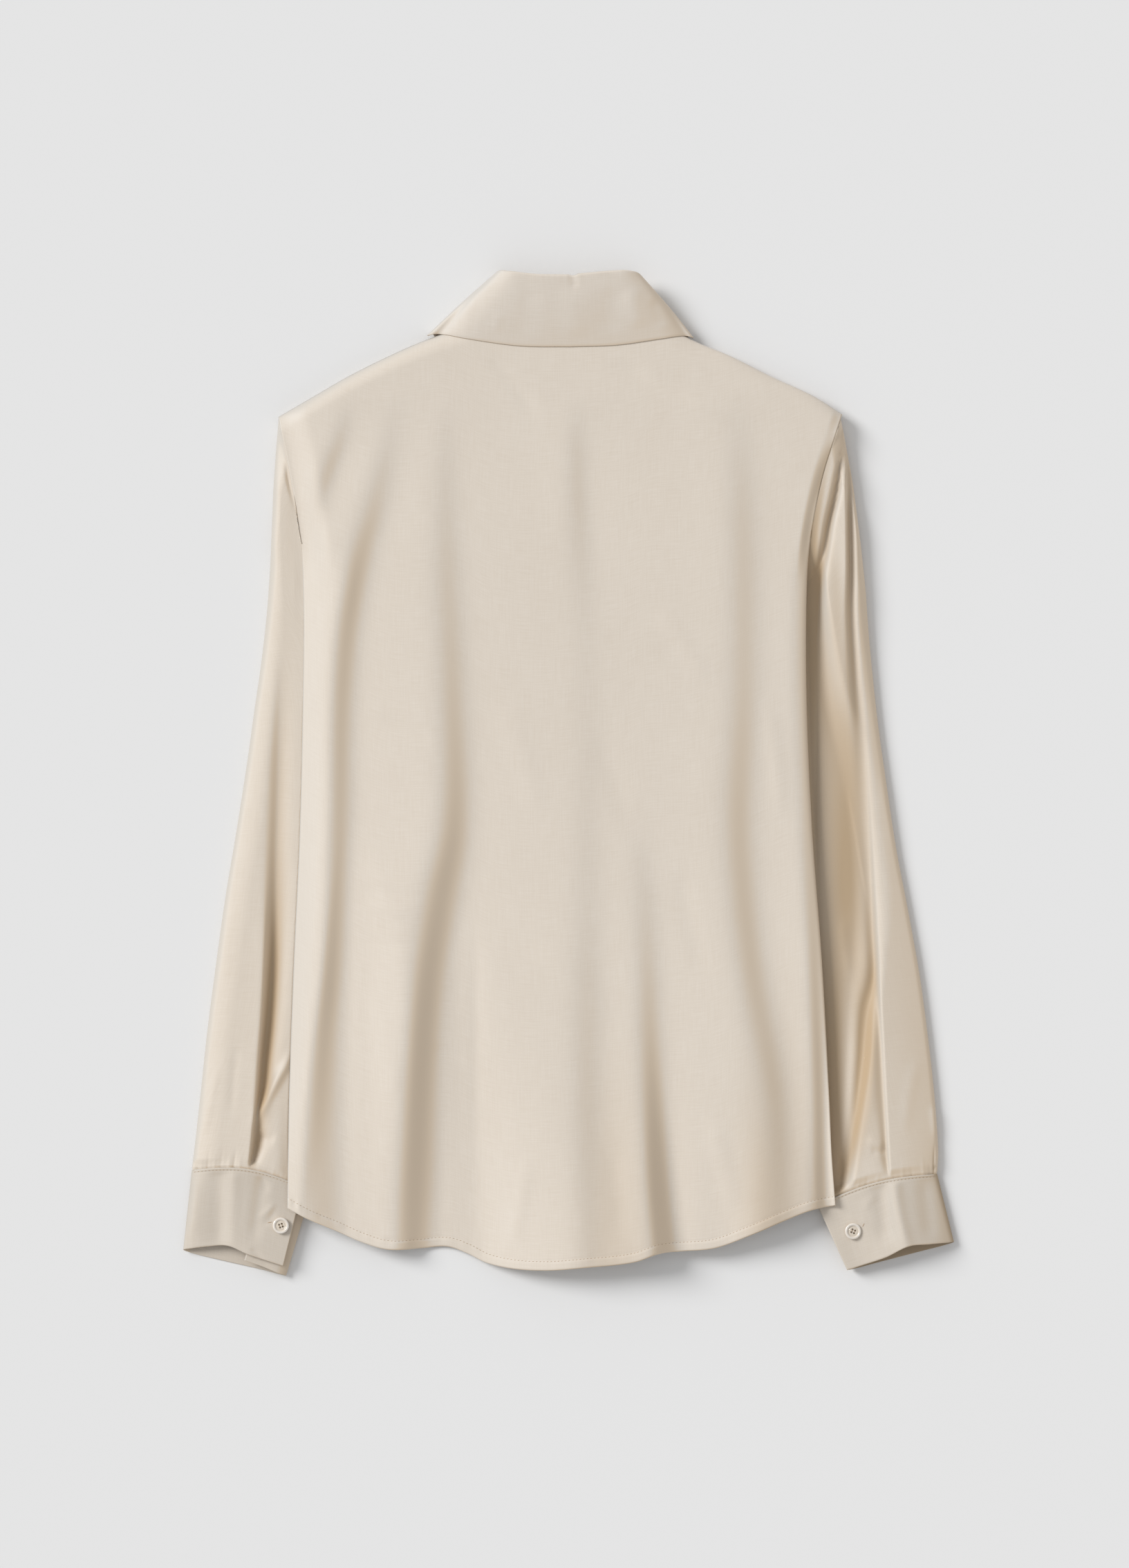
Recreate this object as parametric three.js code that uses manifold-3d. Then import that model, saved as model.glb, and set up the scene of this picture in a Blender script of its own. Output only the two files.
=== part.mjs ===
// A long-sleeved women's shirt with a turned-down collar and buttoned cuffs, laid out flat on its front.
// Millimetres. +Z is up, +Y runs from the hem to the collar, and +X is to the right of someone looking
// down at the back. Each cloth piece is a closed wall, 0.3 mm from its neighbour at a seam.
import * as THREE from "three";
import { mergeVertices } from "three/addons/utils/BufferGeometryUtils.js";
import Module from "manifold-3d";

const wasm = await Module();
wasm.setup();

// Driving sizes
const singlePly = 1.2;
const doubledPly = 1.4; // collar and cuffs: two plies with an interlining
const seamGap = 0.3;
const neckHalfWidth = 68;
const frontNeckDrop = 74;
const frontOverlap = 15; // each front runs this far past the centre
const collarMeet = 3; // the collar's ends stop this far from the centre front
const neckClearance = 0.8; // the collar's seam stands this far off the panels' edges
const frontHemRise = 20; // the fronts are cut this much shorter than the back
const shoulderSeamZ = 7;
const coverRamp = { start: 32, end: 8 }; // where the fronts climb onto a tucked sleeve, before its fold
const largestTurn = 6; // radius at which a sleeve turns from its top side to its underside
const smallestTurn = 3; // the tightest such turn its wall can take
const sleeveSeamEase = 0.9; // how far the sleeve stands off the armhole and the cuff
const tuckedHeight = 6; // a sleeve's height where the body lies on it
const sleeveCrown = 12.5; // and where it is free
const columnGap = 1.2; // the closest two columns of a wall's points come

// Side edges of the body, from the hem up to the shoulder tips: where they are, how high the side seam
// lies, and how high the fronts are held where they lie on a tucked sleeve.
const bodyEdges = [
  { y: -312, left: -201, right: 190.5, seam: 12.4, cover: 9.4 },
  { y: -270, left: -200.5, right: 187.5, seam: 11.6, cover: 8.2 },
  { y: -230, left: -199.8, right: 186, seam: 9.8, cover: 6.5 },
  { y: -135, left: -196.5, right: 181, seam: 9.5, cover: 6.4 },
  { y: -40, left: -192.2, right: 174, seam: 9.5, cover: 6.4 },
  { y: 55, left: -190, right: 170, seam: 9.5, cover: 6.4 },
  { y: 125, left: -189.6, right: 170, seam: 9.5, cover: 6.4 },
  { y: 160, left: -191, right: 171.8, seam: 9.6, cover: 6.2 },
  { y: 190, left: -195, right: 176.5, seam: 10.8, cover: 1.2 },
  { y: 216, left: -199.5, right: 182.5, seam: 11, cover: 0 },
  { y: 257, left: -208, right: 195.5, seam: 10, cover: 0 },
];

// The shoulder lines, from the sleeve head in to the side of the neck.
const leftShoulder = [
  { x: -208, y: 255 },
  { x: -183, y: 269.5 },
  { x: -158, y: 284 },
  { x: -128, y: 299 },
  { x: -104, y: 309.5 },
  { x: -68, y: 322 },
];
const rightShoulder = [
  { x: 68, y: 322 },
  { x: 90, y: 309.5 },
  { x: 115, y: 299 },
  { x: 145, y: 284 },
  { x: 176, y: 269.5 },
  { x: 195.5, y: 257 },
];

// The back's hem, a shallow shirt tail that dips and lifts where the folds run out.
const hemLine = [
  { x: -202, y: -310 },
  { x: -187, y: -318 },
  { x: -166, y: -327 },
  { x: -149, y: -334.5 },
  { x: -130, y: -340 },
  { x: -105, y: -339.5 },
  { x: -86, y: -338.5 },
  { x: -72, y: -343.5 },
  { x: -60, y: -349.5 },
  { x: -43, y: -353.5 },
  { x: -18, y: -355 },
  { x: 10, y: -353 },
  { x: 48, y: -348.5 },
  { x: 64, y: -343 },
  { x: 80, y: -341.5 },
  { x: 105, y: -339 },
  { x: 130, y: -329.7 },
  { x: 155, y: -319 },
  { x: 173, y: -312 },
  { x: 191, y: -308.5 },
];

// How high the back stands over the floor down its middle.
const backCrown = [
  { y: -355, height: 15 },
  { y: -240, height: 17 },
  { y: -100, height: 18 },
  { y: 50, height: 17.5 },
  { y: 180, height: 16.5 },
  { y: 250, height: 14.8 },
  { y: 300, height: 13.2 },
  { y: 325, height: 12.6 },
];

// Soft folds. Each runs down the cloth: the ground falls by `drop` from a ridge on its left to a trough
// on its right, over twice `reach`.
const backFolds = {
  leftShoulder: [
    { y: 60, x: -184, drop: 0, reach: 4 },
    { y: 160, x: -184, drop: 0, reach: 7 },
    { y: 190, x: -179, drop: 3, reach: 8 },
    { y: 217, x: -172, drop: 4.5, reach: 8 },
    { y: 242, x: -165, drop: 3.5, reach: 8 },
    { y: 268, x: -160, drop: 0, reach: 8 },
  ],
  leftLong: [
    { y: -330, x: -186, drop: 1, reach: 6 },
    { y: -288, x: -183, drop: 2.5, reach: 8 },
    { y: -240, x: -179, drop: 5, reach: 10 },
    { y: -140, x: -171.5, drop: 7, reach: 11 },
    { y: -40, x: -166, drop: 9, reach: 11 },
    { y: 60, x: -166, drop: 9, reach: 11 },
    { y: 110, x: -163, drop: 8, reach: 11 },
    { y: 158, x: -153, drop: 6.5, reach: 11 },
    { y: 190, x: -142, drop: 5, reach: 11 },
    { y: 240, x: -128, drop: 2.5, reach: 10 },
    { y: 275, x: -122, drop: 0, reach: 10 },
  ],
  leftMiddle: [
    { y: -345, x: -110, drop: 9, reach: 12 },
    { y: -288, x: -107, drop: 11.5, reach: 12 },
    { y: -190, x: -103.5, drop: 12, reach: 12 },
    { y: -140, x: -98, drop: 11, reach: 12 },
    { y: -90, x: -88, drop: 9.5, reach: 12 },
    { y: -40, x: -80, drop: 8, reach: 12 },
    { y: 60, x: -83, drop: 5, reach: 12 },
    { y: 158, x: -87, drop: 3.2, reach: 12 },
    { y: 270, x: -88, drop: 0, reach: 8 },
  ],
  centre: [
    { y: -350, x: 14, drop: 3, reach: 14 },
    { y: -190, x: 13, drop: 4, reach: 14 },
    { y: -60, x: 13, drop: 2, reach: 14 },
    { y: 100, x: 12, drop: 1, reach: 12 },
    { y: 215, x: 6, drop: 2.4, reach: 9 },
    { y: 270, x: 5, drop: 0, reach: 9 },
  ],
  rightLow: [
    { y: -345, x: 68, drop: 9, reach: 9 },
    { y: -288, x: 63, drop: 8, reach: 9 },
    { y: -190, x: 58, drop: 5.5, reach: 10 },
    { y: -90, x: 54, drop: 2.5, reach: 11 },
    { y: -10, x: 48, drop: 0, reach: 11 },
  ],
  rightLong: [
    { y: -310, x: 163, drop: 1, reach: 12 },
    { y: -240, x: 148, drop: 5.5, reach: 13 },
    { y: -140, x: 131, drop: 7.5, reach: 13 },
    { y: -40, x: 121.5, drop: 6.5, reach: 13 },
    { y: 60, x: 125, drop: 4.5, reach: 13 },
    { y: 190, x: 124, drop: 3.5, reach: 13 },
    { y: 275, x: 118, drop: 0, reach: 13 },
  ],
};

// Sections of each sleeve, from the cuff seam up to the armhole. `inner` is the fold tucked under the
// body and `outer` the free one. `bow` is how far the top side is drawn up the arm between them, and
// `even` how far its points are spread evenly instead of along the folds. `join` is how far its heights
// have come to those of the armhole.
const leftSleeveSections = [
  { inner: [-184, -298], outer: [-269.6, -283], bow: 8, even: 0, join: 0 },
  { inner: [-178, -280], outer: [-267, -262], bow: 6, even: 0, join: 0 },
  { inner: [-166, -245], outer: [-263, -226], bow: 3, even: 0, join: 0 },
  { inner: [-154, -205], outer: [-258.5, -184], bow: 1, even: 0, join: 0 },
  { inner: [-143, -160], outer: [-252.5, -138], bow: 0, even: 0, join: 0 },
  { inner: [-134, -112], outer: [-245.8, -90], bow: 0, even: 0, join: 0 },
  { inner: [-129, -62], outer: [-237.5, -40], bow: 0, even: 0, join: 0 },
  { inner: [-129, -14], outer: [-230, 8], bow: 0, even: 0, join: 0 },
  { inner: [-133, 24], outer: [-225, 44], bow: 0, even: 0, join: 0 },
  { inner: [-142, 58], outer: [-220.6, 74], bow: 0, even: 0, join: 0 },
  { inner: [-157, 88], outer: [-217.4, 100], bow: 0, even: 0, join: 0 },
  { inner: [-174, 110], outer: [-215.6, 118], bow: 0, even: 0.1, join: 0 },
  { inner: [-184, 122], outer: [-214.6, 131], bow: 0, even: 0.4, join: 0 },
  { inner: [-189.6, 138], outer: [-213.6, 146], bow: 0, even: 0.8, join: 0 },
  { inner: [-191.8, 147], outer: [-212.4, 172], bow: 0, even: 1, join: 0.3 },
  { inner: [-192.8, 154], outer: [-210.9, 208], bow: 0, even: 1, join: 0.65 },
];
const rightSleeveSections = [
  { inner: [176, -309], outer: [263.6, -286], bow: 6, even: 0, join: 0 },
  { inner: [170, -289], outer: [264.2, -266], bow: 5, even: 0, join: 0 },
  { inner: [158, -253], outer: [261.6, -230], bow: 3, even: 0, join: 0 },
  { inner: [146, -212], outer: [257.2, -190], bow: 1, even: 0, join: 0 },
  { inner: [135, -166], outer: [251, -144], bow: 0, even: 0, join: 0 },
  { inner: [124, -118], outer: [242.6, -97], bow: 0, even: 0, join: 0 },
  { inner: [117, -68], outer: [234, -52], bow: 0, even: 0, join: 0 },
  { inner: [114, -18], outer: [226.5, -2], bow: 0, even: 0, join: 0 },
  { inner: [117, 22], outer: [221.2, 36], bow: 0, even: 0, join: 0 },
  { inner: [126, 58], outer: [217.6, 68], bow: 0, even: 0, join: 0 },
  { inner: [140, 88], outer: [214.9, 96], bow: 0, even: 0, join: 0 },
  { inner: [156, 110], outer: [213.4, 116], bow: 0, even: 0.3, join: 0 },
  { inner: [165, 122], outer: [212.4, 130], bow: 0, even: 0.7, join: 0 },
  { inner: [170.2, 138], outer: [210.9, 145], bow: 0, even: 1, join: 0 },
  { inner: [172.5, 147], outer: [207.9, 172], bow: 0, even: 1, join: 0.3 },
  { inner: [173.9, 155], outer: [203, 208], bow: 0, even: 1, join: 0.65 },
];

// The sleeves' folds, as on the back. A negative drop rises to the right.
const leftSleeveFolds = {
  long: [
    { y: -300, x: -232, drop: 5, reach: 5 },
    { y: -240, x: -227, drop: 7, reach: 5 },
    { y: -180, x: -222, drop: 7.5, reach: 5 },
    { y: -110, x: -217, drop: 6, reach: 6 },
    { y: -40, x: -212, drop: 4, reach: 6 },
    { y: 40, x: -208, drop: 2, reach: 5 },
    { y: 120, x: -204, drop: 0, reach: 4 },
  ],
};
const rightSleeveFolds = {
  long: [
    { y: -300, x: 224, drop: -3, reach: 6 },
    { y: -240, x: 221, drop: -6, reach: 6 },
    { y: -180, x: 217, drop: -6, reach: 7 },
    { y: -110, x: 213, drop: -5, reach: 7 },
    { y: -40, x: 210.5, drop: -4, reach: 6 },
    { y: 60, x: 208.5, drop: -4.5, reach: 5 },
    { y: 140, x: 203.5, drop: -4, reach: 4 },
    { y: 215, x: 199, drop: -1, reach: 3 },
  ],
  besideBody: [
    { y: -310, x: 196, drop: -1, reach: 7 },
    { y: -240, x: 199, drop: -5, reach: 8 },
    { y: -140, x: 196, drop: -6, reach: 8 },
    { y: -40, x: 188, drop: -5, reach: 8 },
    { y: 60, x: 184, drop: -4, reach: 7 },
    { y: 140, x: 185, drop: -1, reach: 5 },
    { y: 200, x: 189, drop: 0, reach: 4 },
  ],
};

// The cuffs are open bands. Each row is a place along the band: `across` is its place on the sleeve's
// end, 0 at the tucked fold and 1 at the free one, with its height at the seam and at the cuff's edge.
const leftCuffBand = [
  { across: 0.36, seamZ: 5.9, edge: [-232, -348], edgeZ: 6.5 },
  { across: 0.18, seamZ: 5.8, edge: [-219, -352.5], edgeZ: 6.1 },
  { across: 0.06, seamZ: 5.6, edge: [-207, -357.5], edgeZ: 5.8 },
  { across: 0, seamZ: 2.8, edge: [-202.2, -359.2], edgeZ: 2.9 },
  { across: 0.06, seamZ: 0, edge: [-207, -358.2], edgeZ: 0 },
  { across: 0.3, seamZ: 0, edge: [-222, -354.2], edgeZ: 0 },
  { across: 0.65, seamZ: 0, edge: [-248, -348.2], edgeZ: 0 },
  { across: 0.94, seamZ: 0, edge: [-271, -342.6], edgeZ: 0 },
  { across: 1, seamZ: 3, edge: [-275.8, -340.6], edgeZ: 3 },
  { across: 0.94, seamZ: 6.4, edge: [-271, -339.8], edgeZ: 6.4 },
  { across: 0.76, seamZ: 10, edge: [-257, -338], edgeZ: 12 },
  { across: 0.6, seamZ: 11, edge: [-243.8, -337.6], edgeZ: 15 },
  { across: 0.42, seamZ: 10.4, edge: [-229.7, -343.5], edgeZ: 12.4 },
  { across: 0.2, seamZ: 9, edge: [-214, -348.8], edgeZ: 9 },
  { across: 0.07, seamZ: 8.6, edge: [-204, -352], edgeZ: 8.4 },
];
const rightCuffBand = [
  { across: 0.02, seamZ: 8.6, edge: [199, -355], edgeZ: 8.4 },
  { across: 0.18, seamZ: 9, edge: [209.6, -351.5], edgeZ: 9 },
  { across: 0.4, seamZ: 10.4, edge: [226.9, -345.5], edgeZ: 12.4 },
  { across: 0.6, seamZ: 11, edge: [243, -337.6], edgeZ: 15 },
  { across: 0.76, seamZ: 10, edge: [258, -336.3], edgeZ: 12 },
  { across: 0.94, seamZ: 6.4, edge: [271, -335.4], edgeZ: 6.4 },
  { across: 1, seamZ: 3, edge: [275.6, -335.1], edgeZ: 3 },
  { across: 0.94, seamZ: 0, edge: [271, -336.8], edgeZ: 0 },
  { across: 0.65, seamZ: 0, edge: [248, -342.8], edgeZ: 0 },
  { across: 0.3, seamZ: 0, edge: [222, -349.6], edgeZ: 0 },
  { across: 0.08, seamZ: 0, edge: [205.5, -354], edgeZ: 0 },
  { across: 0.02, seamZ: 2.8, edge: [200.7, -355], edgeZ: 2.9 },
  { across: 0.08, seamZ: 5.6, edge: [205.5, -353.5], edgeZ: 5.8 },
  { across: 0.2, seamZ: 5.8, edge: [216, -350], edgeZ: 6.1 },
  { across: 0.36, seamZ: 5.9, edge: [229, -345.5], edgeZ: 6.5 },
];

// The collar, from the middle of the back round one side of the neck to the front. `round` is 0 at the
// middle of the back, 1 at the side of the neck and 2 at the front. `fold` is the line where the fall
// turns over the stand, and `fall` the fall's free edge.
const leftCollar = [
  { round: 0, foldX: 0, foldY: 356, foldZ: 21, fallX: 0, fallY: 305.4, fallZ: 15.6 },
  { round: 0.45, foldX: -26, foldY: 356.5, foldZ: 21, fallX: -36, fallY: 306.2, fallZ: 15.6 },
  { round: 0.8, foldX: -45, foldY: 359.2, foldZ: 19.5, fallX: -74, fallY: 311, fallZ: 15.2 },
  { round: 0.93, foldX: -51, foldY: 358.4, foldZ: 15.5, fallX: -95, fallY: 315.5, fallZ: 13.2 },
  { round: 1, foldX: -53, foldY: 355.5, foldZ: 9.5, fallX: -102, fallY: 316, fallZ: 8 },
  { round: 1.06, foldX: -52, foldY: 352.5, foldZ: 4, fallX: -101.5, fallY: 315, fallZ: 3.4 },
  { round: 1.12, foldX: -50, foldY: 348, foldZ: 1.2, fallX: -98.5, fallY: 309.5, fallZ: 0.4 },
  { round: 1.35, foldX: -42, foldY: 331, foldZ: 0.4, fallX: -86, fallY: 280, fallZ: 0.2 },
  { round: 1.7, foldX: -24, foldY: 303, foldZ: 0.4, fallX: -66, fallY: 242, fallZ: 0 },
  { round: 2, foldX: -5, foldY: 278, foldZ: 0.2, fallX: -46, fallY: 216, fallZ: 0 },
];
const rightCollar = [
  { round: 0, foldX: 0, foldY: 356, foldZ: 21, fallX: 0, fallY: 305.4, fallZ: 15.6 },
  { round: 0.45, foldX: 28, foldY: 358.4, foldZ: 21, fallX: 36, fallY: 306.8, fallZ: 15.6 },
  { round: 0.8, foldX: 45, foldY: 359.2, foldZ: 19.5, fallX: 67, fallY: 311.5, fallZ: 15.2 },
  { round: 0.93, foldX: 51, foldY: 358.4, foldZ: 15.5, fallX: 84, fallY: 316, fallZ: 13.2 },
  { round: 1, foldX: 53, foldY: 355.5, foldZ: 9.5, fallX: 91, fallY: 316, fallZ: 8 },
  { round: 1.06, foldX: 52, foldY: 352.5, foldZ: 4, fallX: 90.5, fallY: 315, fallZ: 3.4 },
  { round: 1.12, foldX: 50, foldY: 348, foldZ: 1.2, fallX: 87.5, fallY: 309.5, fallZ: 0.4 },
  { round: 1.35, foldX: 41, foldY: 330, foldZ: 0.4, fallX: 79, fallY: 280, fallZ: 0.2 },
  { round: 1.7, foldX: 24, foldY: 303, foldZ: 0.4, fallX: 63, fallY: 242, fallZ: 0 },
  { round: 2, foldX: 5, foldY: 278, foldZ: 0.2, fallX: 46, fallY: 216, fallZ: 0 },
];

const button = { radius: 5.8, rim: 2.2, dish: 1.3, dishRadius: 3.9, holeRadius: 0.75, holeOffset: 1.35 };
const frontButtons = { count: 7, topY: 232, spacing: 78, lift: 0.02 };

// Maths shared by the pieces
const clamp01 = (t) => Math.min(Math.max(t, 0), 1);
const ease = (t) => THREE.MathUtils.smoothstep(t, 0, 1);
const roundOver = (distance, radius) => Math.sqrt(1 - (1 - clamp01(distance / radius)) ** 2);

// A column of a table as a smooth function of another column, which rises down the table.
function curveOf(table, from, to) {
  const spline = new THREE.CubicInterpolant(
    table.map((row) => row[from]),
    table.map((row) => row[to]),
    1,
  );
  return (value) => spline.evaluate(value)[0];
}

// Columns across a fold, in reaches from its middle: its foot, ridge, slope, trough and far foot.
const foldColumns = [-1.7, -1, 0, 1, 1.7];

// A set of folds as the height they add, and the places across the cloth of each fold's columns.
function foldsOf(folds) {
  const curves = Object.values(folds).map((rows) => ({
    x: curveOf(rows, "y", "x"),
    drop: curveOf(rows, "y", "drop"),
    reach: curveOf(rows, "y", "reach"),
  }));
  return {
    height: (x, y) =>
      curves.reduce((sum, fold) => {
        const t = (x - fold.x(y)) / fold.reach(y);
        return sum - (fold.drop(y) / 2) * t * Math.exp((1 - t * t) / 2);
      }, 0),
    lines: curves.map((fold) => (y) => foldColumns.map((t) => fold.x(y) + t * fold.reach(y))),
  };
}

// Keeps places in order, no closer than `least`, between the first and the last.
function keepApart(places, least) {
  const last = places.length - 1;
  const kept = [...places];
  for (let k = 1; k <= last; k++) {
    kept[k] = Math.max(kept[k], kept[k - 1] + least);
  }
  kept[last] = places[last];
  for (let k = last - 1; k > 0; k--) {
    kept[k] = Math.min(kept[k], kept[k + 1] - least);
  }
  return kept;
}

const bodyLeft = curveOf(bodyEdges, "y", "left");
const bodyRight = curveOf(bodyEdges, "y", "right");
const sideSeamZ = curveOf(bodyEdges, "y", "seam");
const sleeveCover = curveOf(bodyEdges, "y", "cover");
const leftShoulderY = curveOf(leftShoulder, "x", "y");
const rightShoulderY = curveOf(rightShoulder, "x", "y");
const hemY = curveOf(hemLine, "x", "y");
const crownZ = curveOf(backCrown, "y", "height");
const innerFoldRows = (sections) => sections.map((s) => ({ y: s.inner[1], x: s.inner[0] }));
const leftInner = curveOf(innerFoldRows(leftSleeveSections), "y", "x");
const rightInner = curveOf(innerFoldRows(rightSleeveSections), "y", "x");
const backCloth = foldsOf(backFolds);

const shoulderY = (x) => (x < 0 ? leftShoulderY(x) : rightShoulderY(x));
const neckShare = (x) => Math.min(Math.abs(x) / neckHalfWidth, 1) ** 2;
const backTopY = (x) => shoulderY(x) - (1 - neckShare(x)) * 2 - seamGap;
const frontTopY = (x) => shoulderY(x) - (1 - neckShare(x)) * frontNeckDrop - seamGap;
const insideSides = (x, y) => Math.min(x - bodyLeft(y), bodyRight(y) - x);
const insideShoulder = (x, y) => (shoulderY(x) - y) * 0.88; // measured square to the sloping seam

// Height of the back's outer face. It rounds down to the side seams and the shoulders, and stays up
// round the armholes, where the sleeves join it.
function backZ(x, y) {
  const armhole = ease((y - 165) / 30);
  const seam = sideSeamZ(y) + seamGap / 2;
  const inside = insideSides(x, y);
  const lift = roundOver(inside, 13) * (1 - armhole) + ease(inside / 22) * armhole;
  const crown = crownZ(y) + backCloth.height(x, y);
  const height = seam + (crown - seam) * lift;
  const shoulderSeam = shoulderSeamZ + seamGap / 2;
  const behindNeck = roundOver(neckHalfWidth - Math.abs(x), 18);
  const turn = roundOver(insideShoulder(x, y), 12);
  return shoulderSeam + (height - shoulderSeam) * (turn + (1 - turn) * behindNeck);
}

// Height of the fronts' outer faces, which rest on the floor but for the tucked sleeves, the ends of
// the collar and the buttons. `centreLift` is the height at the buttons.
function frontZ(x, y, centreLift) {
  const overSleeve = x < 0 ? leftInner(y) - x : x - rightInner(y);
  const tucked = sleeveCover(y) * ease((overSleeve + coverRamp.start) / (coverRamp.start - coverRamp.end));
  const collarEnd = Math.hypot((Math.abs(x) - 50) / 62, (y - 272) / 74);
  const onCollar = 2.3 * (1 - ease((collarEnd - 1) / 0.5));
  const onButtons = centreLift * (1 - ease((Math.abs(x) - frontOverlap - 3) / 26));
  const base = Math.max(tucked, onCollar, onButtons);
  const besideSleeve = 1 - ease((y - 160) / 26);
  const side = sideSeamZ(y) - seamGap / 2 - singlePly;
  const rolled = base + (side - base) * (1 - roundOver(insideSides(x, y), 3.5)) * besideSleeve;
  const shoulderSeam = shoulderSeamZ - seamGap / 2;
  return rolled + (shoulderSeam - rolled) * (1 - roundOver(insideShoulder(x, y), 8));
}

// A closed wall from a grid of points on its outer face, rows by columns. Its outer face is the one
// that columns x rows points to. A ring's last column joins its first.
function wallGeometry(points, thickness, ring = false) {
  const rows = points.length;
  const columns = points[0].length;
  const column = (j) => (ring ? (j + columns) % columns : THREE.MathUtils.clamp(j, 0, columns - 1));
  const row = (i) => THREE.MathUtils.clamp(i, 0, rows - 1);
  const across = new THREE.Vector3();
  const along = new THREE.Vector3();
  const inner = points.map((line, i) =>
    line.map((point, j) => {
      across.subVectors(points[i][column(j + 1)], points[i][column(j - 1)]).normalize();
      along.subVectors(points[row(i + 1)][j], points[row(i - 1)][j]).normalize();
      const normal = across.clone().cross(along).normalize();
      return point.clone().addScaledVector(normal, -thickness);
    }),
  );
  const corners = [...points.flat(), ...inner.flat()];
  const positions = corners.flatMap((p) => [p.x, p.y, p.z]);
  const outerAt = (i, j) => i * columns + column(j);
  const innerAt = (i, j) => rows * columns + i * columns + column(j);
  const index = [];
  const quad = (a, b, c, d) => index.push(a, b, c, a, c, d);
  // The rim's narrow faces can be twisted, so each is split along its shorter diagonal.
  const rimQuad = (a, b, c, d) => {
    const shorter = corners[a].distanceTo(corners[c]) <= corners[b].distanceTo(corners[d]);
    return shorter ? quad(a, b, c, d) : quad(b, c, d, a);
  };
  const spans = ring ? columns : columns - 1;
  for (let i = 0; i < rows - 1; i++) {
    for (let j = 0; j < spans; j++) {
      quad(outerAt(i, j), outerAt(i, j + 1), outerAt(i + 1, j + 1), outerAt(i + 1, j));
      quad(innerAt(i, j), innerAt(i + 1, j), innerAt(i + 1, j + 1), innerAt(i, j + 1));
    }
  }
  for (let j = 0; j < spans; j++) {
    rimQuad(outerAt(0, j), innerAt(0, j), innerAt(0, j + 1), outerAt(0, j + 1));
    rimQuad(outerAt(rows - 1, j + 1), innerAt(rows - 1, j + 1), innerAt(rows - 1, j), outerAt(rows - 1, j));
  }
  if (!ring) {
    const last = columns - 1;
    for (let i = 0; i < rows - 1; i++) {
      rimQuad(outerAt(i, 0), outerAt(i + 1, 0), innerAt(i + 1, 0), innerAt(i, 0));
      rimQuad(outerAt(i, last), innerAt(i, last), innerAt(i + 1, last), outerAt(i + 1, last));
    }
  }
  const geometry = new THREE.BufferGeometry();
  geometry.setAttribute("position", new THREE.Float32BufferAttribute(positions, 3));
  geometry.setIndex(index);
  geometry.computeVertexNormals();
  return geometry;
}

// How many spans each stretch between two guides takes, and the guides with those spans put in.
const spansBetween = (guides, widest) =>
  guides.slice(1).map((guide, k) => Math.max(1, Math.round((guide - guides[k]) / widest)));
const withSpans = (guides, spans) => [
  guides[0],
  ...spans.flatMap((count, k) =>
    Array.from({ length: count }, (_, n) => THREE.MathUtils.lerp(guides[k], guides[k + 1], (n + 1) / count)),
  ),
];

const shirt = new THREE.Group();
const viscose = new THREE.MeshStandardMaterial({ color: 0xe3d7c6, roughness: 0.55, metalness: 0 });
const sleeveViscose = new THREE.MeshStandardMaterial({ color: 0xe6d6c2, roughness: 0.5, metalness: 0 });
const fusedViscose = new THREE.MeshStandardMaterial({ color: 0xddd2c3, roughness: 0.6, metalness: 0 });
const clearResin = new THREE.MeshStandardMaterial({ color: 0xe9dccb, roughness: 0.15, metalness: 0 });

function addPiece(name, geometry, material) {
  const mesh = new THREE.Mesh(geometry, material);
  mesh.name = name;
  shirt.add(mesh);
  return mesh;
}

// A body panel between a hem and a top line. Its columns follow the guides, which are places across
// the cloth at a height y, and its rows the hem and the top.
function bodyPanel({ guides, bottomY, topY, height, rows, widest }) {
  const spans = spansBetween(guides(0), widest);
  const columnCount = spans.reduce((sum, count) => sum + count, 1);
  const rowShares = [...Array.from({ length: rows }, (_, i) => (i / rows) * 0.975), 0.985, 0.995, 1];
  return rowShares.map((share) =>
    Array.from({ length: columnCount }, (_, j) => {
      let x = withSpans(guides(0), spans)[j];
      let y = 0;
      for (let pass = 0; pass < 10; pass++) {
        y = THREE.MathUtils.lerp(bottomY(x), topY(x), share);
        x = withSpans(guides(y), spans)[j];
      }
      return new THREE.Vector3(x, y, height(x, y));
    }),
  );
}

const sideSteps = [0, 1.2, 4.5]; // columns this far in from a side edge
const fromLeft = (y) => sideSteps.map((step) => bodyLeft(y) + step);
const fromRight = (y) => sideSteps.toReversed().map((step) => bodyRight(y) - step);

function makeBack() {
  const [shoulder, long, middle, centre, low, right] = backCloth.lines;
  // Columns that lead to the sides of the neck, with more inside it on the left, which has no fold there.
  const besideNeck = (y, wide) => THREE.MathUtils.lerp(wide, neckHalfWidth, ease((y - 120) / 150));
  const leftOfNeck = (y) => [0, 1.3, 9].map((step) => step - besideNeck(y, 45));
  const points = bodyPanel({
    guides: (y) => {
      const left = [...fromLeft(y), ...shoulder(y), ...long(y), ...middle(y), ...leftOfNeck(y)];
      const toRight = [...centre(y), ...low(y), besideNeck(y, 92), ...right(y), ...fromRight(y)];
      return keepApart([...left, ...toRight], columnGap);
    },
    bottomY: hemY,
    topY: backTopY,
    height: backZ,
    rows: 20,
    widest: 16,
  });
  addPiece("back", wallGeometry(points, singlePly), viscose);
  return points;
}

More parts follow.
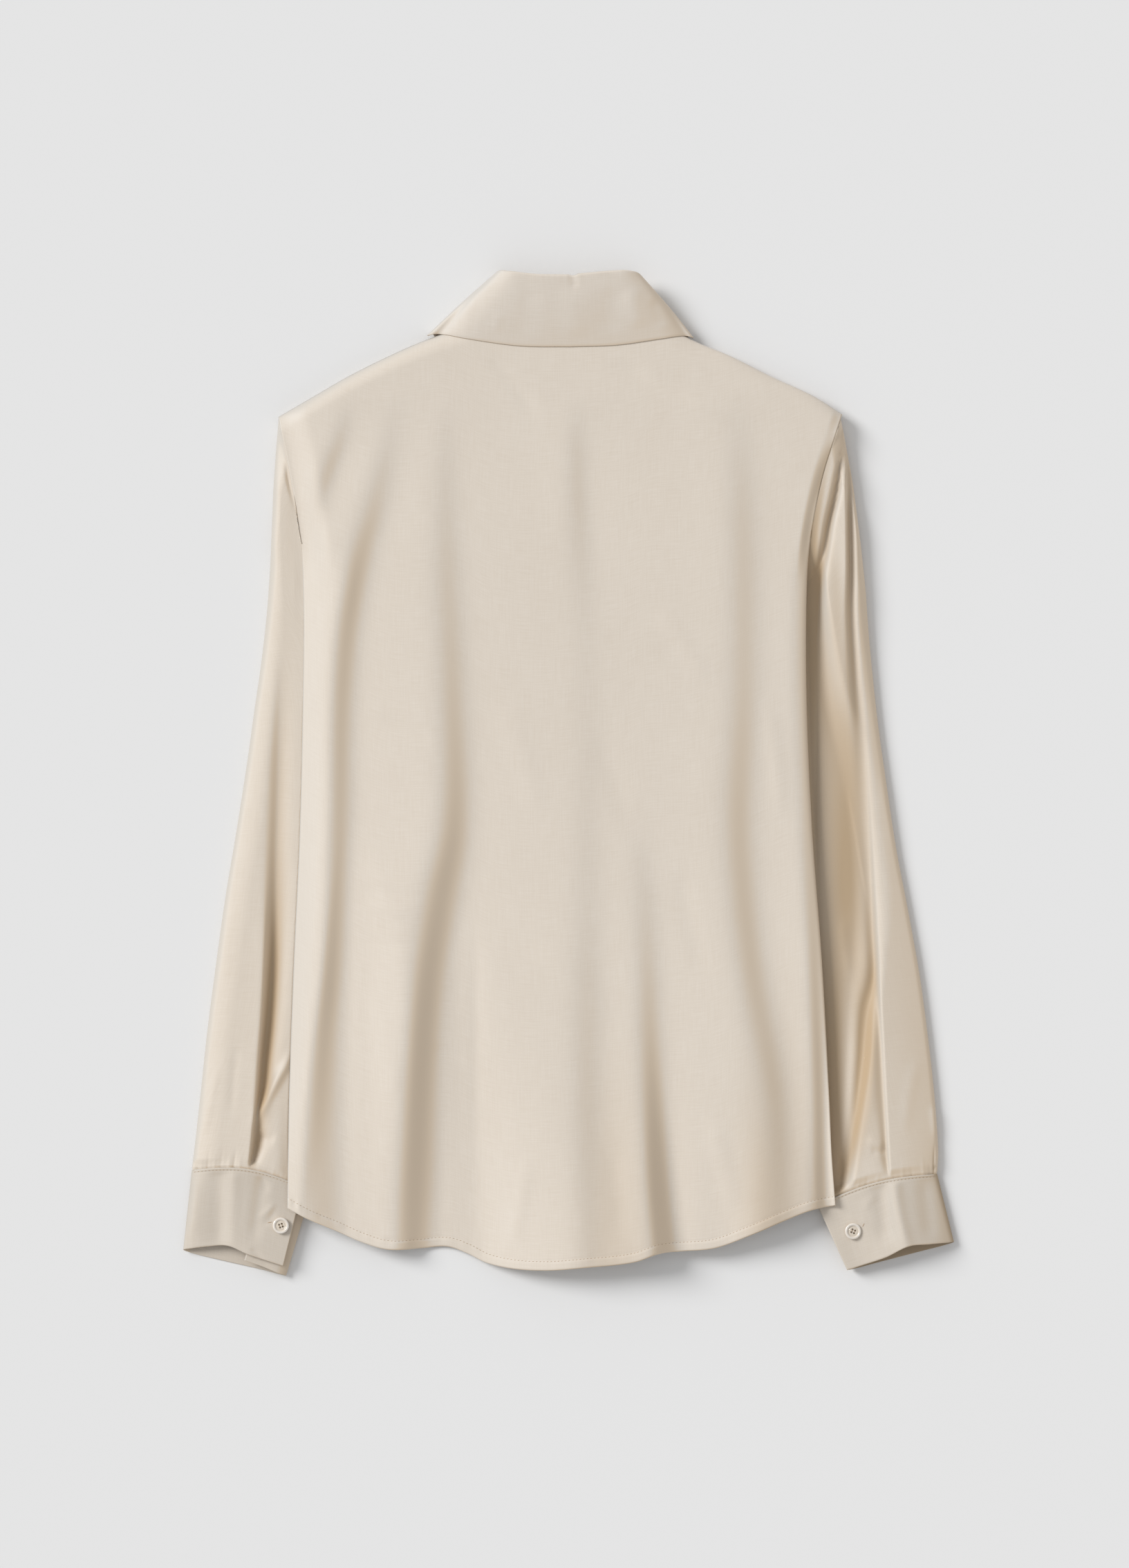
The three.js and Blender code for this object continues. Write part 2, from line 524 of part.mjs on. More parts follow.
// The wearer's right front, on the +X side, laps over the left one. Here it lies below it, and the
// buttons lie below both.
function makeFronts() {
  const shared = { bottomY: (x) => hemY(x) + frontHemRise, topY: frontTopY, rows: 17, widest: 15 };
  const rightLift = button.rim + seamGap;
  const leftLift = rightLift + singlePly + seamGap;
  const right = bodyPanel({
    ...shared,
    guides: (y) => {
      const ramp = [rightInner(y) - coverRamp.start, rightInner(y) - coverRamp.end];
      return keepApart([-frontOverlap, collarMeet, neckHalfWidth, ...ramp, ...fromRight(y)], columnGap);
    },
    height: (x, y) => frontZ(x, y, rightLift),
  });
  const left = bodyPanel({
    ...shared,
    guides: (y) => {
      const ramp = [leftInner(y) + coverRamp.end, leftInner(y) + coverRamp.start];
      return keepApart([...fromLeft(y), ...ramp, -neckHalfWidth, -collarMeet, frontOverlap], columnGap);
    },
    height: (x, y) => frontZ(x, y, leftLift),
  });
  addPiece("front_right", wallGeometry(right.map((line) => line.toReversed()), singlePly), viscose);
  addPiece("front_left", wallGeometry(left.map((line) => line.toReversed()), singlePly), viscose);
  return { left, right };
}

// A sleeve is a tube of rings. Each ring runs from its free fold over the top to its tucked fold and
// back underneath. The last ring follows the armhole.
function makeSleeve(name, side, sections, folds) {
  const cloth = foldsOf(folds);
  const edgeX = side < 0 ? bodyLeft : bodyRight;
  const onArmhole = (y) => [edgeX(y) + side * sleeveSeamEase, y];
  const armhole = { inner: onArmhole(160), outer: onArmhole(254), bow: 0, even: 1, join: 1 };
  const rings = [...sections, armhole];
  const outside = (x, y) => side * (x - edgeX(y));
  const ceiling = (x, y, join) => {
    const nearCuff = 2.4 * (1 - ease((y + 305) / 55));
    const besideBody = tuckedHeight + nearCuff + 0.62 * Math.max(0, outside(x, y) - 1);
    const free = Math.min(sleeveCrown + cloth.height(x, y), besideBody);
    return THREE.MathUtils.lerp(free, backZ(edgeX(y), y) - seamGap, join);
  };
  const floor = (y, join) => join * frontZ(edgeX(y), y, 0);
  // How much longer a turn is along the ring than square to the sleeve's fold.
  const slant = (k, end) => {
    const towards = ([x0, y0], [x1, y1]) => new THREE.Vector2(x1 - x0, y1 - y0).normalize();
    const before = rings[Math.max(k - 1, 0)][end];
    const after = rings[Math.min(k + 1, rings.length - 1)][end];
    const sine = Math.abs(towards(rings[k].outer, rings[k].inner).cross(towards(before, after)));
    return 1 / Math.max(sine, 0.25);
  };
  // The turn at one fold of a ring: its radius, and the height of its middle.
  const turnAt = (k, end) => {
    const { join } = rings[k];
    const [x, y] = rings[k][end];
    const inward = end === "outer" ? -side : side;
    const half = (ceiling(x + inward * 5, y, join) - floor(y, join)) / 2;
    const radius = THREE.MathUtils.clamp(half, smallestTurn, largestTurn);
    return { radius, middle: floor(y, join) + half };
  };
  // Steps along a ring's top side at which its columns lie, from the end of one turn to the other's.
  const guidesOf = (k) => {
    const { inner, outer, even } = rings[k];
    const width = Math.hypot(inner[0] - outer[0], inner[1] - outer[1]);
    const y = (inner[1] + outer[1]) / 2;
    const folds = cloth.lines.flatMap((line) => (side < 0 ? line(y) : line(y).toReversed()));
    const wanted = [...folds, edgeX(y) + side].map((x) => (width * (x - outer[0])) / (inner[0] - outer[0]));
    const turns = ["outer", "inner"].map((end) => turnAt(k, end).radius * slant(k, end));
    const open = width - turns[0] - turns[1];
    const guides = wanted.map((place, n) =>
      THREE.MathUtils.lerp(place, turns[0] + (open * (n + 1)) / (wanted.length + 1), even),
    );
    const least = Math.min(columnGap, open / (guides.length + 2));
    return keepApart([turns[0], ...guides, width - turns[1]], least);
  };
  const turnAngles = [0, 30, 60].map(THREE.MathUtils.degToRad);
  const widestRing = 5;
  const spans = spansBetween(guidesOf(widestRing), 12);

  const points = rings.map(({ inner, outer, bow, join }, k) => {
    const width = Math.hypot(inner[0] - outer[0], inner[1] - outer[1]);
    const guides = guidesOf(k);
    const turns = { outer: turnAt(k, "outer"), inner: turnAt(k, "inner") };
    const plan = (step, lift) => {
      const t = step / width;
      const y = THREE.MathUtils.lerp(outer[1], inner[1], t);
      const x = join === 1 ? onArmhole(y)[0] : THREE.MathUtils.lerp(outer[0], inner[0], t);
      return [x, y + lift * Math.sin(Math.PI * t)];
    };
    const turn = (end, angle, upward) => {
      const { radius, middle } = turns[end];
      const step = radius * slant(k, end) * (1 - Math.cos(angle));
      const [x, y] = plan(end === "outer" ? step : width - step, upward ? bow : 0);
      const rise = Math.max(upward ? ceiling(x, y, join) - middle : middle - floor(y, join), smallestTurn);
      const height = rise * Math.sin(angle);
      return new THREE.Vector3(x, y, middle + (upward ? height : -height));
    };
    // Next to a turn, the two sides stay far enough apart for the wall to go round it.
    const keepOff = (step, wanted, away) => {
      const end = step < width / 2 ? "outer" : "inner";
      const past = end === "outer" ? step - guides[0] : guides.at(-1) - step;
      const nearest = turns[end].middle + away * smallestTurn;
      const kept = away > 0 ? Math.max(wanted, nearest) : Math.min(wanted, nearest);
      return THREE.MathUtils.lerp(kept, wanted, ease(past / 20));
    };
    const top = withSpans(guides, spans).map((step) => {
      const [x, y] = plan(step, bow);
      return new THREE.Vector3(x, y, keepOff(step, ceiling(x, y, join), 1));
    });
    const underSteps = withSpans([guides[0], guides.at(-1)], [4]);
    const under = underSteps.toReversed().map((step) => {
      const [x, y] = plan(step, 0);
      return new THREE.Vector3(x, y, keepOff(step, floor(y, join), -1));
    });
    const ring = [
      ...turnAngles.map((angle) => turn("outer", angle, true)),
      ...top,
      ...turnAngles.toReversed().map((angle) => turn("inner", angle, true)),
      ...turnAngles.slice(1).map((angle) => turn("inner", angle, false)),
      ...under,
      ...turnAngles.slice(1).toReversed().map((angle) => turn("outer", angle, false)),
    ];
    return side < 0 ? ring : ring.toReversed();
  });
  addPiece(name, wallGeometry(points, singlePly, true), sleeveViscose);
}

// A cuff is one open band, wound from the free end over the arm and under the lap.
function cuffPoints(side, seam, band) {
  const top = (k) => (side < 0 ? k > 8 : k < 6);
  const at = (row, k) => {
    const x = THREE.MathUtils.lerp(seam.inner[0], seam.outer[0], row.across);
    const y = THREE.MathUtils.lerp(seam.inner[1], seam.outer[1], row.across);
    const bow = top(k) ? seam.bow * Math.sin(Math.PI * row.across) : 0;
    return new THREE.Vector3(x, y + bow - 2 * sleeveSeamEase, row.seamZ);
  };
  const seamLine = new THREE.CatmullRomCurve3(band.map(at), false, "centripetal");
  const edgeLine = new THREE.CatmullRomCurve3(
    band.map((row) => new THREE.Vector3(...row.edge, row.edgeZ)),
    false,
    "centripetal",
  );
  const spans = (band.length - 1) * 2;
  const rows = 4;
  const onFloor = (point) => point.setZ(Math.max(point.z, 0));
  return Array.from({ length: rows + 1 }, (_, i) =>
    Array.from({ length: spans + 1 }, (_, j) =>
      onFloor(edgeLine.getPoint(j / spans).lerp(seamLine.getPoint(j / spans), i / rows)),
    ),
  );
}

function makeCuffs() {
  const left = cuffPoints(-1, leftSleeveSections[0], leftCuffBand);
  const right = cuffPoints(1, rightSleeveSections[0], rightCuffBand);
  addPiece("cuff_left", wallGeometry(left, doubledPly), fusedViscose);
  addPiece("cuff_right", wallGeometry(right, doubledPly), fusedViscose);
}

// The collar's points run from the left front round the back to the right front, closest together
// where it turns over the shoulders.
function makeCollar(backPoints, frontPoints) {
  const spansPerSide = 16;
  const rounds = Array.from({ length: 2 * spansPerSide + 1 }, (_, k) => {
    const w = (2 * (k - spansPerSide)) / spansPerSide;
    const fromSide = Math.abs(w) - 1;
    return Math.sign(w) * (1 + Math.sign(fromSide) * Math.abs(fromSide) ** 1.4);
  });
  const lineOf = (name) => {
    const curves = [leftCollar, rightCollar].map((table) =>
      ["X", "Y", "Z"].map((axis) => curveOf(table, "round", name + axis)),
    );
    return rounds.map((w) => {
      const [x, y, z] = curves[w < 0 ? 0 : 1].map((curve) => curve(Math.abs(w)));
      return new THREE.Vector3(x, y, Math.max(z, 0));
    });
  };
  // The neck seam follows the panels' top edges, just clear of them.
  const edgeAt = (row, x) => {
    const k = row.findIndex((point) => point.x > x);
    const [before, after] = [row[k - 1], row[k]];
    return before.clone().lerp(after, (x - before.x) / (after.x - before.x));
  };
  const seam = rounds.map((w) => {
    const round = Math.abs(w);
    const onBack = round <= 1;
    const onFront = neckHalfWidth + (collarMeet - neckHalfWidth) * (round - 1);
    const x = Math.sign(w) * (onBack ? neckHalfWidth * round : onFront);
    const row = onBack ? backPoints.at(-1) : frontPoints[w < 0 ? "left" : "right"].at(-1);
    const inward = -Math.sign(w) * Math.min(round, 1) ** 4;
    return edgeAt(row, x).add(new THREE.Vector3(inward * neckClearance, neckClearance, 0));
  });
  const fold = lineOf("fold");
  const fall = lineOf("fall");
  const fallRows = 5;
  const fallPoints = Array.from({ length: fallRows + 1 }, (_, i) =>
    fall.map((point, j) => point.clone().lerp(fold[j], i / fallRows)),
  );
  addPiece("collar_fall", wallGeometry(fallPoints, doubledPly), fusedViscose);
  // The stand starts under the fall's fold, moved in by the fall's thickness.
  const last = fold.length - 1;
  const standTop = fold.map((point, j) => {
    const across = fold[Math.min(j + 1, last)].clone().sub(fold[Math.max(j - 1, 0)]);
    const up = point.clone().sub(fall[j]).normalize();
    const outward = across.cross(up).normalize();
    return point.clone().addScaledVector(outward, -(doubledPly + seamGap)).addScaledVector(up, -0.6);
  });
  const standRows = 2;
  const standPoints = Array.from({ length: standRows + 1 }, (_, i) =>
    seam.map((point, j) => point.clone().lerp(standTop[j], i / standRows)),
  );
  addPiece("collar_stand", wallGeometry(standPoints, doubledPly), fusedViscose);
}

// A four-hole shirt button, its face up and its back at the origin.
function buttonGeometry() {
  const { radius, rim, dish, dishRadius, holeRadius, holeOffset } = button;
  const profile = [
    [0, 0],
    [radius - 0.7, 0],
    [radius, 0.9],
    [radius - 0.6, rim],
    [dishRadius, dish],
    [0, dish],
  ].map(([r, z]) => new THREE.Vector2(r, z));
  const solidOf = (geometry) => {
    const bare = geometry.toNonIndexed();
    bare.deleteAttribute("normal");
    bare.deleteAttribute("uv");
    const merged = mergeVertices(bare, 1e-4);
    return new wasm.Manifold(
      new wasm.Mesh({
        numProp: 3,
        vertProperties: merged.attributes.position.array,
        triVerts: new Uint32Array(merged.index.array),
      }),
    );
  };
  const disc = new THREE.LatheGeometry(profile, 14).rotateX(Math.PI / 2);
  let solid = solidOf(disc);
  for (const [sx, sy] of [[1, 1], [-1, 1], [-1, -1], [1, -1]]) {
    const drill = new THREE.CylinderGeometry(holeRadius, holeRadius, 4, 5).rotateX(Math.PI / 2);
    drill.translate(sx * holeOffset * 0.75, sy * holeOffset * 0.75, 1);
    solid = solid.subtract(solidOf(drill));
  }
  const { numProp, vertProperties, triVerts } = solid.getMesh();
  const geometry = new THREE.BufferGeometry();
  const positions = vertProperties.filter((_, k) => k % numProp < 3);
  geometry.setAttribute("position", new THREE.Float32BufferAttribute(positions, 3));
  geometry.setIndex([...triVerts]);
  return geometry;
}

function makeButtons() {
  const geometry = buttonGeometry();
  for (let k = 0; k < frontButtons.count; k++) {
    const mesh = addPiece(`front_button_${k + 1}`, geometry, clearResin);
    mesh.rotation.x = Math.PI;
    mesh.position.set(0, frontButtons.topY - k * frontButtons.spacing, button.rim + frontButtons.lift);
  }
  const left = addPiece("cuff_button_left", geometry, clearResin);
  left.position.set(-205.6, -323, 9.6);
  left.rotation.set(-0.02, -0.03, 0.35);
  const right = addPiece("cuff_button_right", geometry, clearResin);
  right.position.set(203.2, -327, 10.3);
  right.rotation.set(0, 0.06, -0.4);
}

const backPoints = makeBack();
const frontPoints = makeFronts();
makeSleeve("sleeve_left", -1, leftSleeveSections, leftSleeveFolds);
makeSleeve("sleeve_right", 1, rightSleeveSections, rightSleeveFolds);
makeCuffs();
makeCollar(backPoints, frontPoints);
makeButtons();

// The origin is on the floor, under the middle of the shirt.
const extent = new THREE.Box3().setFromObject(shirt);
const middle = extent.getCenter(new THREE.Vector3());
shirt.position.set(-middle.x, -middle.y, -extent.min.z);

export default shirt;
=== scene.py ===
# A cream satin-weave viscose shirt, laid out flat on its front. Tables are in millimetres, meshes in metres.
import math

import bmesh
import bpy
import numpy as np
from mathutils import Matrix, Vector


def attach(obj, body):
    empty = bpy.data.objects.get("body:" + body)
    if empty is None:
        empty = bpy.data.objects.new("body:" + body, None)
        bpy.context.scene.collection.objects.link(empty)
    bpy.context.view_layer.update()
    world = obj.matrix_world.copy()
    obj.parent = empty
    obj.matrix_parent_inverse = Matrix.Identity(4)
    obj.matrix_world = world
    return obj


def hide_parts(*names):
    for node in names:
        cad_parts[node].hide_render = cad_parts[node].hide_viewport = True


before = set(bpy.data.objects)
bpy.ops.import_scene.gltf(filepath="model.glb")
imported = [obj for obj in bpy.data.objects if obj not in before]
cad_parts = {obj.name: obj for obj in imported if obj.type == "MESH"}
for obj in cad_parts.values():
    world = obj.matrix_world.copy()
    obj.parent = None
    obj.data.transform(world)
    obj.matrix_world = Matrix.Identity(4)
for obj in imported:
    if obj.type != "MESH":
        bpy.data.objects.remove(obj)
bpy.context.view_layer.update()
scene = bpy.context.scene
mm = 0.001
bpy.ops.object.select_all(action="DESELECT")


# Curves and small maths


def ease(t):
    t = np.clip(t, 0, 1)
    return t * t * (3 - 2 * t)


def lerp(a, b, t):
    return a + (b - a) * t


def bell(t):
    return np.exp(-(t**2))


def roundOver(distance, radius):
    return np.sqrt(1 - (1 - np.clip(distance / radius, 0, 1)) ** 2)


# One column of a table as a smooth function of another, which rises down the table
def curveOf(rows, fromColumn, toColumn):
    t = np.array([row[fromColumn] for row in rows], float)
    v = np.array([row[toColumn] for row in rows], float)
    end = len(t) - 1

    def at(x):
        x = np.clip(x, t[0], t[-1])
        i = np.clip(np.searchsorted(t, x, side="right"), 1, end)
        t0, t1 = t[i - 1], t[i]
        tPrev = np.where(i == 1, t1, t[np.maximum(i - 2, 0)])
        vPrev = np.where(i == 1, v[i], v[np.maximum(i - 2, 0)])
        tNext = np.where(i == end, t0, t[np.minimum(i + 1, end)])
        vNext = np.where(i == end, v[i - 1], v[np.minimum(i + 1, end)])
        wPrev = (t1 - t0) / 2 / (t0 - tPrev)
        wNext = (t1 - t0) / 2 / (tNext - t1)
        p = (x - t0) / (t1 - t0)
        return (
            vPrev * (-wPrev * p**3 + 2 * wPrev * p**2 - wPrev * p)
            + v[i - 1] * ((1 + wPrev) * p**3 + (-1.5 - 2 * wPrev) * p**2 + (wPrev - 0.5) * p + 1)
            + v[i] * ((-1 - wNext) * p**3 + (1.5 + wNext) * p**2 + 0.5 * p)
            + vNext * (wNext * p**3 - wNext * p**2)
        )

    return at


# Every column of a table but its first, at places of the first
def columnsAt(rows, place):
    return [curveOf(rows, 0, column)(place) for column in range(1, len(rows[0]))]


# A smooth line through points, at shares of its length in rows
def lineThrough(points, shares):
    p = np.array(points, float)
    p = np.vstack([2 * p[0] - p[1], p, 2 * p[-1] - p[-2]])
    place = np.asarray(shares) * (len(points) - 1)
    i = np.minimum(place.astype(int), len(points) - 2)
    w = (place - i)[:, None]
    p0, p1, p2, p3 = p[i], p[i + 1], p[i + 2], p[i + 3]
    spans = (p1 - p0, p2 - p1, p3 - p2)
    before, within, after = [np.maximum(np.linalg.norm(span, axis=1), 1e-6)[:, None] ** 0.5 for span in spans]
    m1 = ((p1 - p0) / before - (p2 - p0) / (before + within) + (p2 - p1) / within) * within
    m2 = ((p2 - p1) / within - (p3 - p1) / (within + after) + (p3 - p2) / after) * within
    a = 2 * p1 - 2 * p2 + m1 + m2
    b = -3 * p1 + 3 * p2 - 2 * m1 - m2
    return ((a * w + b) * w + m1) * w + p1


# Soft folds: the cloth falls by drop from a ridge to a trough over twice reach, and eases back slowly
def foldHeight(folds, x, y):
    total = 0
    for rows in folds.values():
        middle, drop, reach = columnsAt(rows, y)
        t = (x - middle) / reach
        total = total - drop * t / (1 + t * t)
    return total


# Valleys: y, x, depth, reach on the left, reach on the right
def valleyHeight(valleys, x, y):
    total = 0
    for rows in valleys.values():
        middle, depth, leftReach, rightReach = columnsAt(rows, y)
        aside = x - middle
        total = total - np.maximum(depth, 0) * bell(aside / np.where(aside < 0, leftReach, rightReach))
    return total


# Pleat edges: y, x, rise towards the right, sharpness, reach on the left, reach on the right
def pleatHeight(pleats, x, y):
    total = 0
    for rows in pleats.values():
        middle, rise, sharpness, leftReach, rightReach = columnsAt(rows, y)
        aside = x - middle
        fade = np.exp(-np.abs(aside) / np.where(aside < 0, leftReach, rightReach))
        total = total + rise / 2 * np.tanh(aside / sharpness) * fade
    return total


# Creases: each runs from one place to another with a bow, and fades over a share of it at both ends
fadeShare = 0.3


def creaseHeight(creases, x, y):
    total = 0
    for x0, y0, x1, y1, bow, height, width in creases:
        length = math.hypot(x1 - x0, y1 - y0)
        ux, uy = (x1 - x0) / length, (y1 - y0) / length
        along = ((x - x0) * ux + (y - y0) * uy) / length
        aside = (x - x0) * -uy + (y - y0) * ux - bow * 4 * along * (1 - along)
        fade = ease(along / fadeShare) * ease((1 - along) / fadeShare)
        total = total + height * fade * bell(aside / width)
    return total


# The body's edges, shared by the back, the fronts, the sleeves and the collar
body = {
    "singlePly": 1.2,
    "doubledPly": 1.4,
    "seamGap": 0.3,
    "neckHalfWidth": 68,
    "backNeckDrop": 2,
    "frontNeckDrop": 74,
    "frontOverlap": 15,
    "frontHemRise": 20,
    "shoulderSeamZ": 7,
    "shoulderLean": 0.88,
    "panelRounds": 12,
    # y, left edge, right edge, heights of the left and right side seams and of the fronts over a sleeve
    "edges": [
        (-312, -201, 190.5, 12.4, 12.4, 9.4), (-270, -200.5, 187.5, 12, 11.6, 8.2),
        (-230, -199.8, 186, 11.4, 10.4, 6.5), (-135, -196.5, 181, 11.2, 10.2, 6.4),
        (-40, -192.2, 174, 11.2, 10.2, 6.4), (55, -190, 170, 11.2, 10.2, 6.4),
        (125, -189.6, 170, 11.2, 10.2, 6.4), (160, -191, 171.8, 11.3, 10.4, 6.2),
        (190, -195, 176.5, 11.8, 11.2, 1.2), (216, -199.5, 182.5, 12.2, 12, 0),
        (240, -204.5, 190, 12.4, 13.4, 0), (257, -208, 195.5, 11, 12.2, 0),
    ],
    # x, y
    "leftShoulder": [(-208, 255), (-183, 269.5), (-158, 284), (-128, 299), (-104, 309.5), (-68, 322)],
    "rightShoulder": [(68, 322), (90, 309.5), (115, 299), (145, 284), (176, 269.5), (195.5, 257)],
    "hem": [
        (-202, -310), (-187, -318), (-166, -327), (-149, -334.5), (-130, -340), (-105, -339.5),
        (-86, -338.5), (-72, -343.5), (-60, -349.5), (-43, -353.5), (-18, -355), (10, -353), (48, -348.5),
        (64, -343), (80, -341.5), (105, -339), (130, -329.7), (155, -319), (173, -312), (191, -308.5),
    ],
}
edgeCurves = [curveOf(body["edges"], 0, column) for column in range(1, 6)]
bodyLeft, bodyRight, leftSeamZ, rightSeamZ, sleeveCover = edgeCurves
leftShoulderY = curveOf(body["leftShoulder"], 0, 1)
rightShoulderY = curveOf(body["rightShoulder"], 0, 1)
hemY = curveOf(body["hem"], 0, 1)


def shoulderY(x):
    return np.where(x < 0, leftShoulderY(x), rightShoulderY(x))


def sideSeamZ(x, y):
    return np.where(x < 0, leftSeamZ(y), rightSeamZ(y))


def topY(x, neckDrop):
    atNeck = 1 - np.minimum(np.abs(x) / body["neckHalfWidth"], 1) ** 2
    return shoulderY(x) - atNeck * neckDrop - body["seamGap"]


def backTopY(x):
    return topY(x, body["backNeckDrop"])


def frontTopY(x):
    return topY(x, body["frontNeckDrop"])


def insideSides(x, y):
    return np.minimum(x - bodyLeft(y), bodyRight(y) - x)


def insideShoulder(x, y):
    return (shoulderY(x) - y) * body["shoulderLean"]


# Meshes


def linked(name, mesh):
    piece = bpy.data.objects.new(name, mesh)
    scene.collection.objects.link(piece)
    return piece


def applyModifiers(piece):
    bpy.ops.object.select_all(action="DESELECT")
    piece.select_set(True)
    bpy.context.view_layer.objects.active = piece
    for modifier in list(piece.modifiers):
        bpy.ops.object.modifier_apply(modifier=modifier.name)
    piece.select_set(False)


# The way along each row or column of a grid of points
def lengthsAlong(points, axis):
    steps = np.cumsum(np.linalg.norm(np.diff(points, axis=axis), axis=2), axis)
    return np.concatenate([np.zeros_like(steps.take([0], axis)), steps], axis)


# A thin shell from a grid of points on its outer face, in millimetres, with the cloth's own measure as
# its UV map and its painted shade as an attribute. A ring's last column joins its first.
def shellFrom(name, points, wall, ring=False, shade=0):
    p = np.asarray(points, float)
    rows, columns = p.shape[:2]
    i, j = np.meshgrid(np.arange(rows - 1), np.arange(columns if ring else columns - 1), indexing="ij")
    n = (j + 1) % columns
    quads = np.stack([i * columns + j, i * columns + n, (i + 1) * columns + n, (i + 1) * columns + j], -1)
    mesh = bpy.data.meshes.new(name)
    mesh.from_pydata((p.reshape(-1, 3) * mm).tolist(), [], quads.reshape(-1, 4).tolist())
    closed = np.concatenate([p, p[:, :1]], 1) if ring else p
    across = lengthsAlong(closed, 1)
    across = across - across[:, [across.shape[1] // 2]]
    uv = np.stack([across, lengthsAlong(closed, 0)], -1) * mm
    corners = np.stack([uv[i, j], uv[i, j + 1], uv[i + 1, j + 1], uv[i + 1, j]], -2)
    mesh.uv_layers.new(name="cloth").data.foreach_set("uv", corners.reshape(-1).astype(np.float32))
    paintedShade = np.broadcast_to(shade, (rows, columns)).reshape(-1)
    mesh.attributes.new("paintedShade", "FLOAT", "POINT").data.foreach_set("value", paintedShade.astype(np.float32))
    mesh.update()
    piece = linked(name, mesh)
    mesh.shade_smooth()
    solidify = piece.modifiers.new("wall", "SOLIDIFY")
    solidify.thickness = wall * mm
    solidify.offset = -1
    solidify.use_even_offset = False
    applyModifiers(piece)
    return piece


# Places from 0 to 1 across a width, close together near both ends
def placesAcross(width, edge, step, fine=1.0):
    near = np.arange(0, edge, fine)
    count = max(2, int(round((width - 2 * edge) / step)))
    middle = np.linspace(edge, width - edge, count + 1)
    return np.concatenate([near, middle, width - near[::-1]]) / width


# A body panel between two side lines, a hem and a top line
def panelPoints(left, right, bottom, top, across, along):
    s = across[None, :]
    v = along[:, None]
    x = lerp(left(0.0), right(0.0), s) + 0 * v
    for _ in range(body["panelRounds"]):
        y = lerp(bottom(x), top(x), v)
        x = lerp(left(y), right(y), s)
    return x, y


def surface(x, y, z):
    return np.stack([x, y, z], -1)


